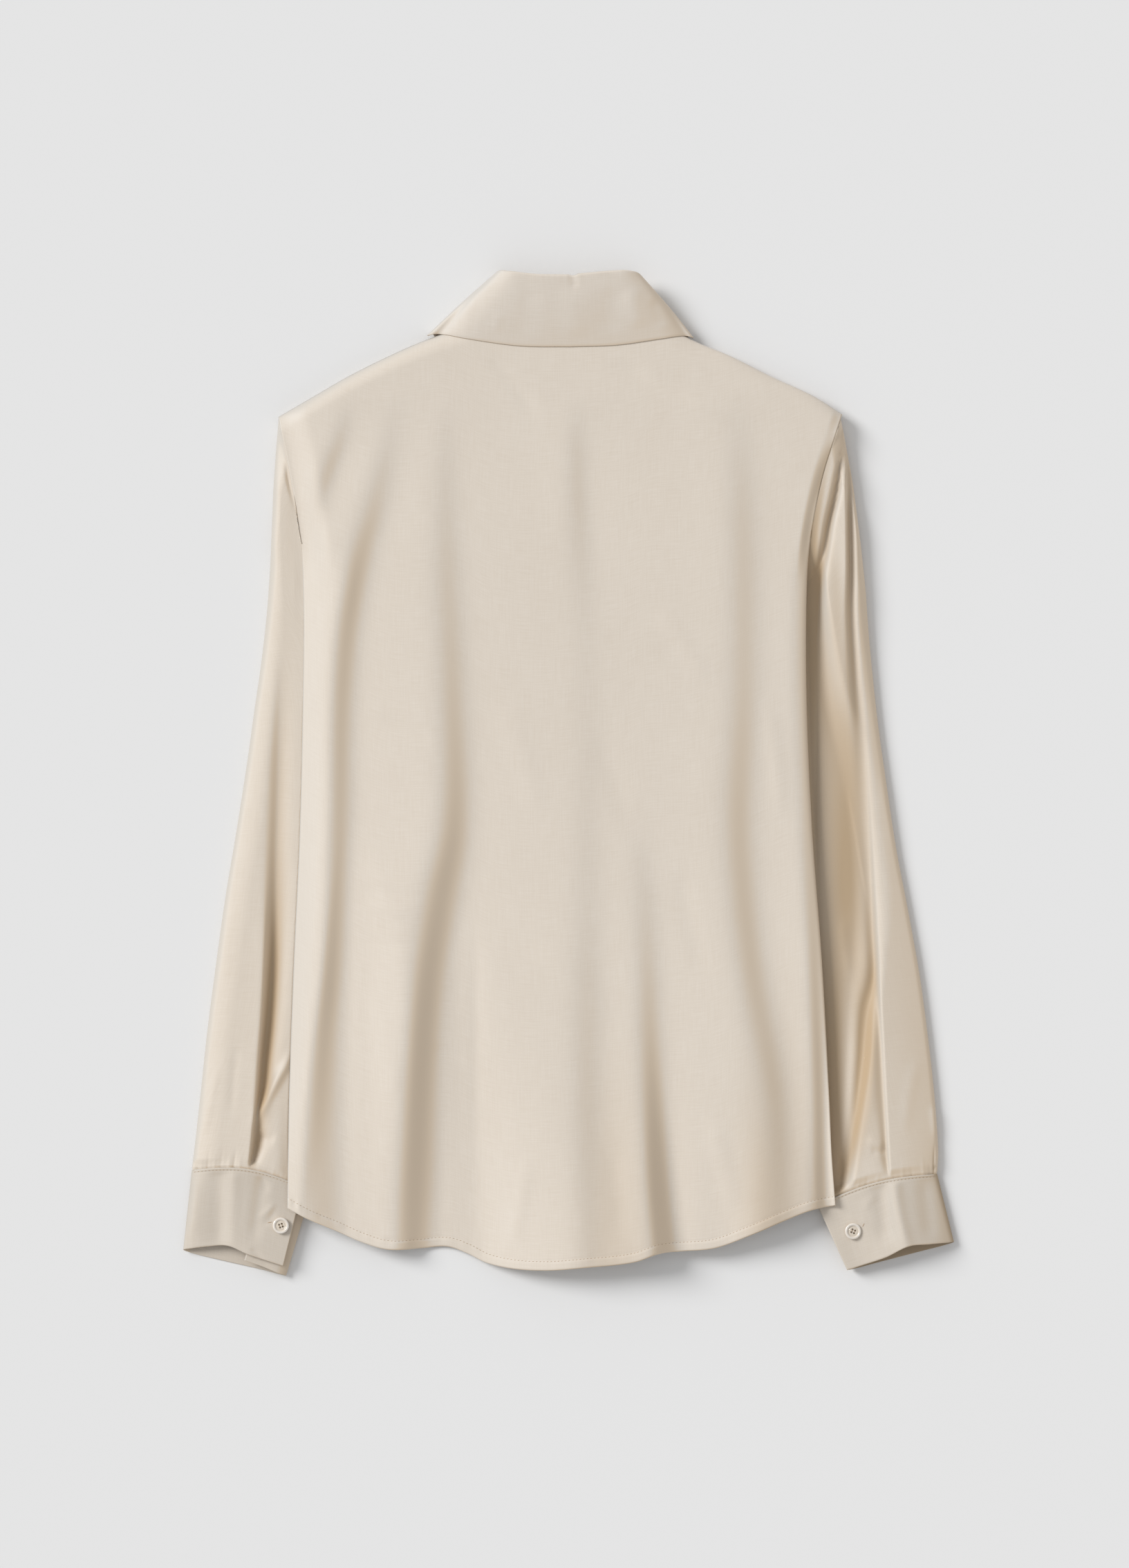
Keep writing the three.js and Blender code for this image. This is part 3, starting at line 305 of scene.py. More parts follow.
# The back
back = {
    "wall": 0.5,
    # across and along: the whole, the edge with close points, the step between
    "grid": ((390, 14, 2.6), (670, 14, 3.2)),
    "armholeLeft": 22,
    "armholeRight": 8,
    "armholeFoot": 130,
    "armholeBlend": 45,
    "leftSlope": 36,
    "leftFullness": 1.6,
    "rightRound": 14,
    "neckRound": 18,
    "shoulderRound": 12,
    "lowest": 1,
    # how far from the sides and the shoulder seams the small creases begin
    "smoothSide": 16,
    "smoothShoulder": 20,
    # painted shade beside the right armhole seam: depth, width, y where it begins, is full, fades and ends
    "armholeShade": (0.75, 3, 186, 210, 228, 244),
    "softness": 1.35,
    # x, how much the cloth rises at the hem, how far up the rise reaches
    "hemRise": [
        (-202, 0, 60), (-184, -4, 120), (-165, -12, 260), (-148, -13, 280), (-130, -12, 260),
        (-108, -8, 200), (-88, -8, 200), (-62, -9, 220), (-36, -4, 200), (-11, -0.5, 150), (14, 2, 120),
        (63, 2, 120), (88, 2, 120), (113, 1, 100), (137, 3.5, 90), (165, 3.5, 90), (185, 0.8, 90),
        (192, 0, 90),
    ],
    # y, height over the floor down the middle
    "crown": [
        (-355, 15), (-240, 17), (-100, 18), (50, 17.5), (180, 16.5), (250, 14.8), (300, 13.2), (325, 12.6),
    ],
    # y, x, drop, reach
    "folds": {
        "leftShoulder": [
            (60, -184, 0, 4), (160, -184, 0, 7), (190, -179, 2, 8), (217, -171, 3, 8), (242, -163, 2, 8),
            (268, -158, 0, 8),
        ],
        "leftLong": [
            (-330, -189, 2, 6), (-288, -187.5, 4, 7), (-240, -184, 5.5, 9), (-190, -179.5, 6.5, 10),
            (-140, -172.5, 7.6, 11), (-40, -166, 9.4, 11), (60, -163.5, 9.4, 11), (110, -158.5, 8, 11),
            (158, -148, 5.6, 11), (190, -139, 4, 11), (240, -128, 1.3, 10), (275, -122, 0, 10),
        ],
        "leftMiddle": [
            (-345, -113, 15, 14), (-288, -111, 15.5, 14), (-190, -105, 13, 13), (-140, -99.5, 12, 13.5),
            (-90, -91.5, 11, 14.5), (-40, -82, 8.8, 13), (60, -83, 5.4, 12), (158, -87, 3.4, 12),
            (270, -88, 0, 8),
        ],
        "centre": [
            (-350, 14, 3, 14), (-190, 13, 4, 14), (-60, 13, 2, 14), (100, 12, 1, 12), (215, 6, 2.4, 9),
            (270, 5, 0, 9),
        ],
        "rightLow": [
            (-345, 68, 13.5, 9), (-288, 63, 12, 9), (-190, 58, 6, 10), (-90, 54, 2.5, 11), (-10, 48, 0, 11),
        ],
        "rightRim": [
            (-330, 180, 5.5, 6), (-230, 179, 5, 6), (-135, 175.5, 3, 6), (-40, 170, 0.6, 5), (20, 168, 0, 5),
        ],
        "rightLong": [
            (-310, 151, 3.5, 13), (-240, 149, 6.2, 13), (-140, 131, 7.5, 13), (-40, 121.5, 6.5, 13),
            (60, 125, 4.5, 13), (190, 124, 3.5, 13), (275, 118, 0, 13),
        ],
    },
    # painted shade in the low folds: y, x, tone, reach on the left, reach on the right
    "tones": {
        "lowMiddle": [
            (-355, 30, 0.32, 20, 32), (-280, 28, 0.26, 20, 32), (-200, 25, 0.06, 20, 30),
            (-140, 25, 0, 20, 30),
        ],
        "lowRight": [
            (-345, 142, 0.5, 18, 30), (-280, 144, 0.45, 20, 28), (-230, 147, 0.25, 22, 26),
            (-180, 150, 0.1, 20, 20), (-130, 150, 0, 20, 20),
        ],
    },
    # from x, y to x, y, bow, height, width
    "creases": [
        (25, 296, 95, 262, 3, -0.5, 5), (40, 300, 120, 250, -4, 0.5, 6), (-60, 300, -20, 250, 2, -0.4, 5),
        (-150, -80, -105, -92, 1, -0.35, 3), (-148, -92, -112, -100, -1, 0.3, 3),
        (-145, -118, -108, -126, 1, -0.3, 3), (-100, -195, -70, -205, 1, -0.3, 3),
        (-140, 40, -95, 20, 2, -0.3, 5), (60, 120, 100, 60, 3, 0.4, 7), (-30, -120, 30, -180, 4, 0.4, 9),
        (80, -60, 100, -150, -3, -0.4, 7), (-50, 60, -20, -40, 3, 0.35, 9), (20, 40, 55, -60, -3, -0.35, 8),
        (140, 60, 152, -40, 2, 0.5, 6), (-140, -150, -125, -240, 2, 0.5, 7),
        (100, -240, 118, -320, 2, 0.6, 7), (-30, -270, -42, -345, 1, 0.5, 6),
        (30, -260, 38, -340, 1, -0.5, 7),
    ],
}
hem = {
    "fold": 6.4,
    "ply": 0.35,
    "groove": 0.22,
    "rolled": 0.3,
    "soft": 0.8,
    # how far before the stitches the double ply ends, over what
    "plyEnd": (0.4, 0.9),
    # the puckers: three waves along the hem, sway and phase; heights at both sides and where these change
    "waves": (0.71, 0.19, 0.13, 2, 1),
    "puckerOut": 1,
    "puckerReach": 3.2,
    "rippleLeft": 0.26,
    "rippleRight": 0.14,
    "rippleX": -130,
    "rippleBlend": 90,
}
crownZ = curveOf(back["crown"], 0, 1)
softened = {
    name: [(y, x, drop, reach * back["softness"]) for y, x, drop, reach in rows]
    for name, rows in back["folds"].items()
}


def backZ(x, y):
    armhole = ease((y - back["armholeFoot"]) / back["armholeBlend"])
    seam = sideSeamZ(x, y) + body["seamGap"] / 2
    inside = insideSides(x, y)
    slope = 1 - (1 - np.clip(inside / back["leftSlope"], 0, 1)) ** back["leftFullness"]
    beside = np.where(x < 0, slope, roundOver(inside, back["rightRound"]))
    dip = np.where(x < 0, back["armholeLeft"], back["armholeRight"])
    lift = beside * (1 - armhole) + ease(inside / dip) * armhole
    height = lerp(seam, crownZ(y) + foldHeight(softened, x, y), lift)
    shoulderSeam = body["shoulderSeamZ"] + body["seamGap"] / 2
    behindNeck = roundOver(body["neckHalfWidth"] - np.abs(x), back["neckRound"])
    turn = roundOver(insideShoulder(x, y), back["shoulderRound"])
    return lerp(shoulderSeam, height, turn + (1 - turn) * behindNeck)


# The turned hem: its double ply, the groove of its stitches, the puckers and the rolled edge
def hemHeight(x, fromHem):
    quick, slow, slower, sway, phase = hem["waves"]
    before, over = hem["plyEnd"]
    fromStitches = fromHem - hem["fold"]
    ply = hem["ply"] * (1 - ease((fromStitches + before) / over))
    groove = hem["groove"] * bell(fromStitches / hem["soft"])
    waves = np.sin(x * quick + sway * np.sin(x * slower)) * np.sin(x * slow + phase)
    ripple = lerp(hem["rippleLeft"], hem["rippleRight"], ease((x - hem["rippleX"]) / hem["rippleBlend"]))
    pucker = ripple * waves * bell((fromStitches + hem["puckerOut"]) / hem["puckerReach"])
    return ply - groove + pucker - hem["rolled"] * (1 - ease(fromHem / hem["soft"]))


# Painted shade beside the right armhole and in the low folds
def backShade(x, y):
    depth, width, foot, full, fade, top = back["armholeShade"]
    upTo = ease((y - foot) / (full - foot)) * (1 - ease((y - fade) / (top - fade)))
    armholeShadow = depth * bell(insideSides(x, y) / width) * upTo * (x > 0)
    return armholeShadow - valleyHeight(back["tones"], x, y)


def makeBack():
    across, along = [placesAcross(*spans) for spans in back["grid"]]
    x, y = panelPoints(bodyLeft, bodyRight, hemY, backTopY, across, along)
    away = ease(insideSides(x, y) / back["smoothSide"]) * ease(insideShoulder(x, y) / back["smoothShoulder"])
    z = backZ(x, y) + creaseHeight(back["creases"], x, y) * away
    slope = np.gradient(hemY(x), axis=1) / np.gradient(x, axis=1)
    fromHem = (y - hemY(x)) / np.hypot(1, slope)
    rise, upTo = columnsAt(back["hemRise"], x)
    z = np.maximum(z + rise * (1 - ease(fromHem / upTo)), back["lowest"]) + hemHeight(x, fromHem)
    return shellFrom("shirt_back", surface(x, y, z), back["wall"], shade=backShade(x, y))


backPiece = makeBack()
print("back", len(backPiece.data.polygons))

# The fronts, under the back
fronts = {
    "wall": 0.5,
    "buttonLift": 2.5,
    "plyLift": 4.0,
    "grid": ((200, 8, 4), (620, 10, 5)),
    # over a tucked sleeve: how far before its inner fold the rise begins, and how wide it is
    "sleeveReach": 32,
    "sleeveRise": 24,
    "sleeveTop": 160,
    "sleeveTopBlend": 26,
    # over the collar's front ends: centre, half width and height, lift
    "collarPad": (50, 272, 62, 74, 2.3),
    "padBlend": 0.5,
    # how far past the lap the lift over the buttons lasts, and its fade
    "buttonPad": (3, 26),
    "sideRound": 3.5,
    "shoulderRound": 8,
    # how far the edge stays inside where a sleeve comes out from under the body, and between which y
    "tuck": 2.4,
    "tuckFrom": -300,
    "tuckTo": 125,
    "tuckBlend": 25,
}

sleeves = {
    "wall": 0.5,
    "largestTurn": 6,
    "smallestTurn": 1.8,
    "lowest": 2.4,
    "ease": 0.15,
    # height under the body, how much more near the cuff, y from which that fades, over what
    "tucked": (6, 2.4, -305, 55),
    "insideCuff": 0.74,
    "underBody": 3.5,
    "cuffBlend": 0.4,
    # y of the armhole's foot and top
    "armhole": (158, 254),
    # rings near the cuff and up the arm, columns on top and underneath, steps round a fold
    "rings": (26, 216),
    "across": (112, 16),
    "turnSteps": 7,
    "turnAngle": 78,
    "turnPlace": 5,
    "leastSlant": 0.25,
    "underarmY": 105,
    "underarmBlend": 30,
    "foldBlend": 20,
    "settle": 1.2,
    # how far inside the body's edge the cloth comes up and the folds begin, each with its width
    "comesUp": (2.2, 1.8),
    "relief": (1, 4),
    # shares of the width at the outer and inner side that turn away from the armhole seam
    "sideShares": (0.1, 0.12),
    # how much of the first section lies inside the cuff
    "cuffDepth": 0.07,
    # inner x, y, outer x, y, bow, join to the body
    "left": [
        (-184, -298, -269.6, -283, 8, 0), (-178, -280, -267, -262, 6, 0), (-166, -245, -263, -226, 3, 0),
        (-154, -205, -258.5, -184, 1, 0), (-143, -160, -252.5, -138, 0, 0), (-134, -112, -245.8, -90, 0, 0),
        (-129, -62, -237.5, -40, 0, 0), (-129, -14, -230, 8, 0, 0), (-133, 24, -225, 44, 0, 0),
        (-142, 58, -220.6, 74, 0, 0), (-157, 88, -217.4, 100, 0, 0), (-174, 110, -215.6, 118, 0, 0),
        (-182, 122, -214.6, 131, 0, 0), (-186, 138, -213.6, 146, 0, 0), (-187.4, 147, -212.4, 172, 0, 0.3),
        (-188, 154, -210.9, 208, 0, 0.65),
    ],
    "right": [
        (176, -309, 263.6, -286, 6, 0), (170, -289, 264.2, -266, 5, 0), (158, -253, 261.6, -230, 3, 0),
        (146, -212, 257.2, -190, 1, 0), (135, -166, 251, -144, 0, 0), (124, -118, 242.6, -97, 0, 0),
        (117, -68, 234, -52, 0, 0), (114, -18, 226.5, -2, 0, 0), (117, 22, 221.2, 36, 0, 0),
        (126, 58, 217.6, 68, 0, 0), (140, 88, 214.9, 96, 0, 0), (156, 110, 213.4, 116, 0, 0),
        (163, 122, 212.4, 130, 0, 0), (167, 138, 210.9, 145, 0, 0), (168.4, 147, 207.9, 172, 0, 0.3),
        (168.6, 155, 203, 208, 0, 0.65),
    ],
    # y, height beside the body, its width, width of the slope up to the crown
    "leftBeside": [
        (-305, 8.6, 0, 10), (-250, 10, 2, 8), (-100, 10.9, 1, 8), (50, 11, 0, 12), (135, 11.2, 0, 7),
        (165, 11.7, 0, 7), (190, 11.8, 0, 6), (256, 10, 0, 6),
    ],
    "rightBeside": [
        (-310, 6, 3, 8), (-288, 4.4, 5, 12), (-229, 3.4, 10, 18), (-189, 3, 14, 22), (-139, 3.2, 20, 26),
        (-90, 3.4, 26, 28), (-40, 3.6, 26, 28), (9, 3.4, 20, 28), (59, 3, 10, 20), (116, 3, 6.4, 12),
        (143, 4.2, 4.4, 9), (160, 7.4, 2, 8), (178, 10, 0.5, 6), (200, 11.4, 0, 4), (256, 12, 0, 4),
    ],
    # y, height at the outer edge, height of the crown, how far inside it lies
    "leftArch": [
        (-300, 6.5, 10, 18), (-200, 6.5, 10.5, 18), (0, 6.8, 10.8, 18), (100, 7.5, 11.1, 14),
        (160, 9, 11.9, 8), (256, 10, 12.5, 5),
    ],
    "rightArch": [
        (-300, 5, 12, 32), (-240, 4.6, 12.4, 46), (-100, 4.6, 12, 46), (0, 4.8, 11.5, 34),
        (80, 5.2, 11.5, 20), (150, 6.5, 12.2, 10), (256, 9.5, 12.5, 6),
    ],
    # painted shadow where the body shades the sleeve: y, how deep the tone is beside the body, its width
    "leftPaintedShadow": [(-305, 0.5, 4), (-250, 0.2, 6), (-180, 0.04, 8), (100, 0, 8), (150, 0, 5), (256, 0, 4)],
    "rightPaintedShadow": [
        (-310, 0.9, 6), (-288, 0.9, 9), (-229, 1, 11), (-169, 0.95, 15), (-109, 0.7, 22), (-40, 0.66, 32),
        (9, 0.68, 32), (59, 0.8, 18), (116, 0.9, 10), (150, 0.95, 8.5), (172, 0.9, 5.5), (195, 0.7, 4),
        (215, 0.35, 3), (235, 0, 3), (256, 0, 4),
    ],
    # painted shade beside the pleats, down the middle of the right sleeve and in its slit: y, x, tone, reach
    # on the left, reach on the right
    "leftPaintedShades": {
        "besidePleat": [
            (-290, -227, 0, 3, 3), (-250, -221, 0.55, 2.4, 6.5), (-160, -213, 0.45, 3.4, 7.5),
            (-60, -208, 0.16, 5, 9), (120, -200, 0.03, 6, 8), (200, -200, 0.08, 3, 4), (230, -203, 0, 3, 3),
        ],
    },
    "rightPaintedShades": {
        "middle": [
            (-300, 197, 0, 5, 5), (-285, 200, 0.3, 5, 6), (-263, 205, 0.6, 5, 7), (-225, 209, 0.6, 7, 8),
            (-190, 211, 0.6, 9, 8), (-150, 207, 0.45, 9, 9), (-90, 201, 0.5, 10, 10),
            (-40, 199, 0.3, 10, 10), (10, 200, 0.2, 10, 9), (60, 196, 0.35, 9, 7), (108, 192, 0.4, 8, 6),
            (140, 190, 0.3, 5, 5), (170, 188, 0, 4, 4),
        ],
        "besidePleat": [
            (-292, 227, 0, 6, 2), (-262, 225.5, 0.3, 9, 2), (-190, 220, 0.4, 11, 3), (-120, 215, 0.3, 10, 3),
            (-20, 206, 0.25, 12, 5), (60, 203, 0.15, 8, 5), (120, 203, 0, 4, 4),
        ],
        "slit": [
            (-292, 261, 0, 0.8, 0.4), (-286, 261, 0.8, 0.8, 0.4), (-272, 261, 0.6, 0.8, 0.4),
            (-262, 261.4, 0, 0.8, 0.4),
        ],
    },
    # how much painted shade the valleys get for their depth
    "valleyShade": 0.13,
    # y, x, depth, reach on the left, reach on the right
    "leftValleys": {
        "long": [
            (-290, -229, 0, 2, 2.5), (-278, -226.5, 3, 1.5, 4), (-263, -223.5, 4.4, 2, 6),
            (-252, -223, 3, 2, 5), (-244, -222.5, 2.8, 2, 4.4), (-233, -220.5, 4.5, 2.5, 5.2),
            (-203, -217.6, 5.8, 3, 6.2), (-174, -214.6, 6.2, 3.4, 6.6), (-139, -212, 6, 3.8, 6.6),
            (-114, -210.8, 5, 4.2, 7), (-85, -209.8, 3.8, 4.8, 7.4), (-55, -209, 2.9, 5, 6.5),
            (-23, -208, 2.4, 5, 6.5), (9, -207, 2, 5, 7), (41, -206, 1.2, 4.5, 7), (80, -205, 0.3, 4, 7),
            (120, -204, 0, 4, 6),
        ],
        "underarm": [
            (184, -194, 0, 1.5, 2), (198, -197.5, 0.6, 1.4, 2), (212, -200.5, 0.9, 1.2, 2),
            (226, -202.5, 0, 1, 2),
        ],
    },
    "rightValleys": {
        "fromSeam": [
            (96, 174.5, 1.5, 4, 4), (118, 176, 3.6, 4, 4), (142, 179.4, 4.6, 3.4, 3.6),
            (165, 183.4, 4.8, 2.8, 3.4), (180, 186, 5, 2.6, 3), (199, 190.3, 5.2, 2.4, 2.8),
            (223, 194, 3.6, 1.8, 2.2), (240, 195, 1.4, 1.4, 1.8), (252, 196, 0, 1.2, 1.4),
        ],
        "fromTip": [
            (-292, 196, 0, 4, 4), (-283, 197.7, 1.8, 4, 4.5), (-248, 204.7, 3.4, 4.5, 5),
            (-208, 210, 4.8, 5, 5), (-169, 213.4, 4.4, 5.5, 4.5), (-139, 218, 2.8, 5, 3.2),
            (-109, 217, 2.4, 5, 3), (-70, 215, 1.8, 5, 3.4), (-20, 211, 1.2, 5, 5), (21, 209, 1.8, 5, 5),
            (74, 204.6, 3, 4, 3.4), (116, 201.8, 3.8, 3, 3), (148, 201.4, 4.6, 2, 3.4),
            (180, 200.9, 4.4, 1.8, 3), (212, 200.2, 3.4, 1.6, 2.4), (232, 198.7, 1.5, 1.4, 1.8),
            (248, 197, 0, 1.2, 1.4),
        ],
        "besidePleat": [
            (-292, 229, 0, 2, 1), (-272, 226.6, 1.5, 3, 1), (-262, 226, 0.9, 2.5, 1),
            (-229, 223.6, 0.8, 4, 1.2), (-190, 221.6, 0.9, 4, 1.4), (-157, 220, 1.6, 4.5, 1.4),
            (-120, 217.5, 0.8, 4, 1.4), (-80, 216, 0, 4, 1.4),
        ],
    },
    # y, x, rise towards the right, sharpness, reach on the left, reach on the right
    "leftPleats": {
        "cover": [
            (-294, -229, 0, 0.6, 10, 4), (-280, -228, -2, 0.5, 14, 4), (-258, -225.7, -3, 0.5, 16, 5),
            (-235, -223, -3, 0.5, 16, 5), (-205, -220.7, -3, 0.55, 16, 5), (-181, -219, -3, 0.6, 16, 5),
            (-139, -217, -2.4, 0.7, 14, 5), (-109, -216, -1.2, 0.9, 12, 5), (-85, -215.4, -0.2, 1.2, 10, 5),
            (-60, -215, 0, 1.2, 10, 5),
        ],
        "underarm": [
            (182, -193, 0, 0.5, 5, 4), (190, -195.5, -0.35, 0.6, 5, 4), (212, -202, -0.35, 0.6, 5, 4),
            (224, -203.5, 0, 0.5, 5, 4),
        ],
    },
    "rightPleats": {
        "panel": [
            (-300, 230, 0.8, 0.6, 7, 16), (-286, 229.2, 1.5, 0.5, 7, 18), (-265, 228, 1.8, 0.5, 7, 18),
            (-229, 226, 1.8, 0.5, 7, 18), (-201, 224.5, 2, 0.5, 7, 18), (-157, 222, 2.3, 0.6, 7, 18),
            (-101, 218.8, 1.9, 0.6, 7, 16), (-36, 215.6, 1.4, 0.8, 7, 12), (9, 213, 0.8, 1.2, 7, 10),
            (60, 209.6, 0, 1.6, 6, 8),
        ],
        "ridge": [
            (30, 206, 0, 1.4, 6, 4), (70, 203, -0.6, 1, 6, 4), (110, 199.3, -1.3, 0.7, 6, 4),
            (140, 198.8, -1.6, 0.6, 6, 4), (190, 198.5, -1.4, 0.6, 5, 4), (232, 197.9, -0.7, 0.6, 4, 3),
            (250, 197.5, 0, 0.6, 4, 3),
        ],
        "faint": [
            (-92, 213.4, 0, 0.4, 4, 4), (-79, 211, 0.4, 0.4, 5, 5), (-50, 206, 0.4, 0.4, 5, 5),
            (-23, 201.5, 0.35, 0.5, 5, 5), (-8, 199, 0, 0.5, 4, 4),
        ],
        "slit": [
            (-290, 262, 0.6, 0.3, 1, 3), (-284, 261.8, 1, 0.3, 1.2, 3), (-274, 261.8, 0.8, 0.35, 1.2, 3),
            (-264, 262, 0, 0.5, 1, 3),
        ],
    },
    # from x, y to x, y, bow, height, width
    "leftCreases": [
        (-195, -196, -226, -254, -1, 2.2, 3.4), (-209, -262, -224, -258, 0, -0.9, 3),
        (-252, -160, -243, -90, -2, 0.3, 5), (-262, -262, -250, -205, 0, 0.35, 3),
        (-246, -60, -232, 20, 1, 0.3, 4), (-241, -248, -236, -190, 1, -0.3, 3),
    ],
    "rightCreases": [
        (262, -236, 266, -262, 0, 1.2, 4), (240, -262, 250, -200, 2, 0.35, 5), (236, -60, 224, 0, 1, 0.3, 4),
        (215, -270, 227, -272, 1, -0.7, 2), (212, -262, 226, -268, 1, 0.6, 3),
        (203, -150, 196, -100, 2, 0.5, 4),
    ],
    # x at the cuff seam, lean, length, height, width
    "leftGathers": [
        (-263, 1, 12, 0.25, 1.1), (-258.5, 2, 20, -0.35, 1.0), (-254, 2, 16, 0.35, 1.2),
        (-249.5, 3, 24, -0.3, 1.1), (-244, 3, 20, 0.45, 1.3), (-240.2, 3, 26, -0.55, 0.9),
        (-236, 2, 22, 0.4, 1.4), (-231.5, 1, 12, -0.25, 1.0), (-222.5, 2, 14, 0.35, 1.2),
        (-218, 3, 12, -0.4, 1.0), (-213, 3, 14, 0.45, 1.3), (-208.4, 3, 12, -0.4, 1.0),
        (-203.6, 3, 12, 0.35, 1.1),
    ],
    "rightGathers": [
        (206, 2, 14, 0.3, 1.2), (212, 2, 16, -0.3, 1.1), (219, 3, 14, 0.3, 1.3), (233, -1, 12, -0.2, 1.0),
        (239, -1, 18, 0.25, 1.2), (246, -2, 14, -0.2, 1.0), (254, -2, 20, 0.25, 1.2),
        (258.4, -1, 12, -0.3, 0.9),
    ],
}


def innerFold(sections):
    return curveOf([(row[1], row[0]) for row in sections], 0, 1)


leftInner, rightInner = innerFold(sleeves["left"]), innerFold(sleeves["right"])


def frontZ(x, y, centreLift):
    padX, padY, padWidth, padHeight, padLift = fronts["collarPad"]
    overSleeve = np.where(x < 0, leftInner(y) - x, x - rightInner(y))
    onSleeve = sleeveCover(y) * ease((overSleeve + fronts["sleeveReach"]) / fronts["sleeveRise"])
    fromPad = np.hypot((np.abs(x) - padX) / padWidth, (y - padY) / padHeight)
    onCollar = padLift * (1 - ease((fromPad - 1) / fronts["padBlend"]))
    past, fade = fronts["buttonPad"]
    onButtons = centreLift * (1 - ease((np.abs(x) - body["frontOverlap"] - past) / fade))
    base = np.maximum(np.maximum(onSleeve, onCollar), onButtons)
    side = sideSeamZ(x, y) - body["seamGap"] / 2 - body["singlePly"]
    besideSleeve = 1 - ease((y - fronts["sleeveTop"]) / fronts["sleeveTopBlend"])
    rolled = lerp(base, side, (1 - roundOver(insideSides(x, y), fronts["sideRound"])) * besideSleeve)
    shoulderSeam = body["shoulderSeamZ"] - body["seamGap"] / 2
    return lerp(rolled, shoulderSeam, 1 - roundOver(insideShoulder(x, y), fronts["shoulderRound"]))


def makeFront(name, left, right, centreLift):
    across, along = [placesAcross(*spans) for spans in fronts["grid"]]
    x, y = panelPoints(left, right, lambda x: hemY(x) + body["frontHemRise"], frontTopY, across, along)
    return shellFrom(name, surface(x, y, frontZ(x, y, centreLift))[:, ::-1], fronts["wall"])


def tuckedIn(y):
    below, above = [ease((y - fronts[end]) / fronts["tuckBlend"]) for end in ("tuckFrom", "tuckTo")]
    return fronts["tuck"] * below * (1 - above)


def rightFrontX(y):
    return bodyRight(y) - tuckedIn(y)


def leftFrontX(y):
    return bodyLeft(y) + tuckedIn(y)


overlap = body["frontOverlap"]
frontRight = makeFront("shirt_front_right", lambda y: -overlap + 0 * y, rightFrontX, fronts["buttonLift"])
frontLeft = makeFront("shirt_front_left", leftFrontX, lambda y: overlap + 0 * y, fronts["plyLift"])
print("fronts", len(frontRight.data.polygons) + len(frontLeft.data.polygons))


# The cuffs, open bands wound from the free end over the arm and under the lap
cuffs = {
    "wall": 0.6,
    # the roll beside the seam and the groove under it: height, place, reach
    "seamRoll": ((0.3, 0.9, 0.8), (-0.12, 2.3, 0.6)),
    "rolled": 0.3,
    "clear": 6,
    "edgeOn": 0.2,
    "depth": 55,
    "columns": 180,
    # rows: width with close ones at both edges, step between, close step
    "rowSteps": (5, 1.8, 0.45),
    # the row at the outer fold
    "foldRow": {"left": 8, "right": 6},
    # painted shade on the inner ply, where the top ply shades it
    "insideShade": {"left": 0.05, "right": 0.9},
    # across, height at the seam, edge x, y, height at the edge
    "left": [
        (0.36, 5.9, -232, -348, 6.5), (0.18, 5.8, -219, -352.5, 6.1), (0.06, 5.6, -207, -357.5, 5.8),
        (0, 2.8, -202.2, -359.2, 2.9), (0.06, 0, -207, -358.2, 0), (0.3, 0, -222, -354.2, 0),
        (0.65, 0, -248, -348.2, 0), (0.94, 0, -271, -342.6, 0), (1, 3, -275.8, -340.6, 3),
        (0.94, 6.4, -271, -339.8, 5), (0.76, 10, -257, -338, 6.6), (0.6, 11, -243.8, -337.6, 8),
        (0.42, 10.4, -229.7, -343.5, 9), (0.2, 9, -214, -348.8, 8.8), (0.07, 8.6, -204, -352, 8.4),
    ],
    "right": [
        (0.02, 8.6, 199, -355, 8.4), (0.18, 9, 209.6, -351.5, 9), (0.4, 10.4, 226.9, -345.5, 12.4),
        (0.6, 11, 243, -337.6, 15), (0.76, 10, 258, -336.3, 12), (0.94, 6.4, 271, -335.4, 6.4),
        (1, 3, 275.6, -335.1, 3), (0.94, 0, 271, -336.8, 0), (0.65, 0, 248, -342.8, 0),
        (0.3, 0, 222, -349.6, 0), (0.08, 0, 205.5, -354, 0), (0.02, 2.8, 200.7, -355, 2.9),
        (0.08, 5.6, 205.5, -353.5, 5.8), (0.2, 5.8, 216, -350, 6.1), (0.36, 5.9, 229, -345.5, 6.5),
    ],
    # from x, y to x, y, bow, height, width
    "leftCreases": [
        (-238, -268, -241, -350, -2, 1.1, 5.5), (-219, -276, -228, -342, 2, -0.9, 5),
        (-250, -270, -249, -350, 1, -1.8, 9), (-268, -284, -270, -335, 0, 0.7, 6),
        (-209, -306, -223, -318, 1, 0.5, 1.8), (-209, -311, -220, -324, 1, -0.4, 1.6),
        (-222, -286, -215, -300, 1, -0.45, 2), (-228, -338, -218, -352, 1, -0.5, 2.5),
    ],
    "rightCreases": [
        (232, -276, 247, -352, -4, 1.7, 5), (221, -286, 227, -340, 1, -1.6, 7),
        (254, -282, 260, -340, -1, -0.9, 6), (196, -318, 214, -322, 1, 0.3, 2),
        (210, -312, 222, -300, 1, 0.3, 3),
    ],
}


def handOf(side):
    return "left" if side < 0 else "right"


# The cuff seam's line, at shares across it from the inner fold
def cuffSeam(hand, across, onTop=1):
    innerX, innerY, outerX, outerY, bow = sleeves[hand][0][:5]
    return lerp(innerX, outerX, across), lerp(innerY, outerY, across) + bow * np.sin(np.pi * across) * onTop


# Height of the cuff's top layer along its seam
def cuffTopZ(side):
    hand = handOf(side)
    top = [row[:2] for k, row in enumerate(cuffs[hand]) if side * (cuffs["foldRow"][hand] - k) >= 0]
    return curveOf(sorted(top), 0, 1)


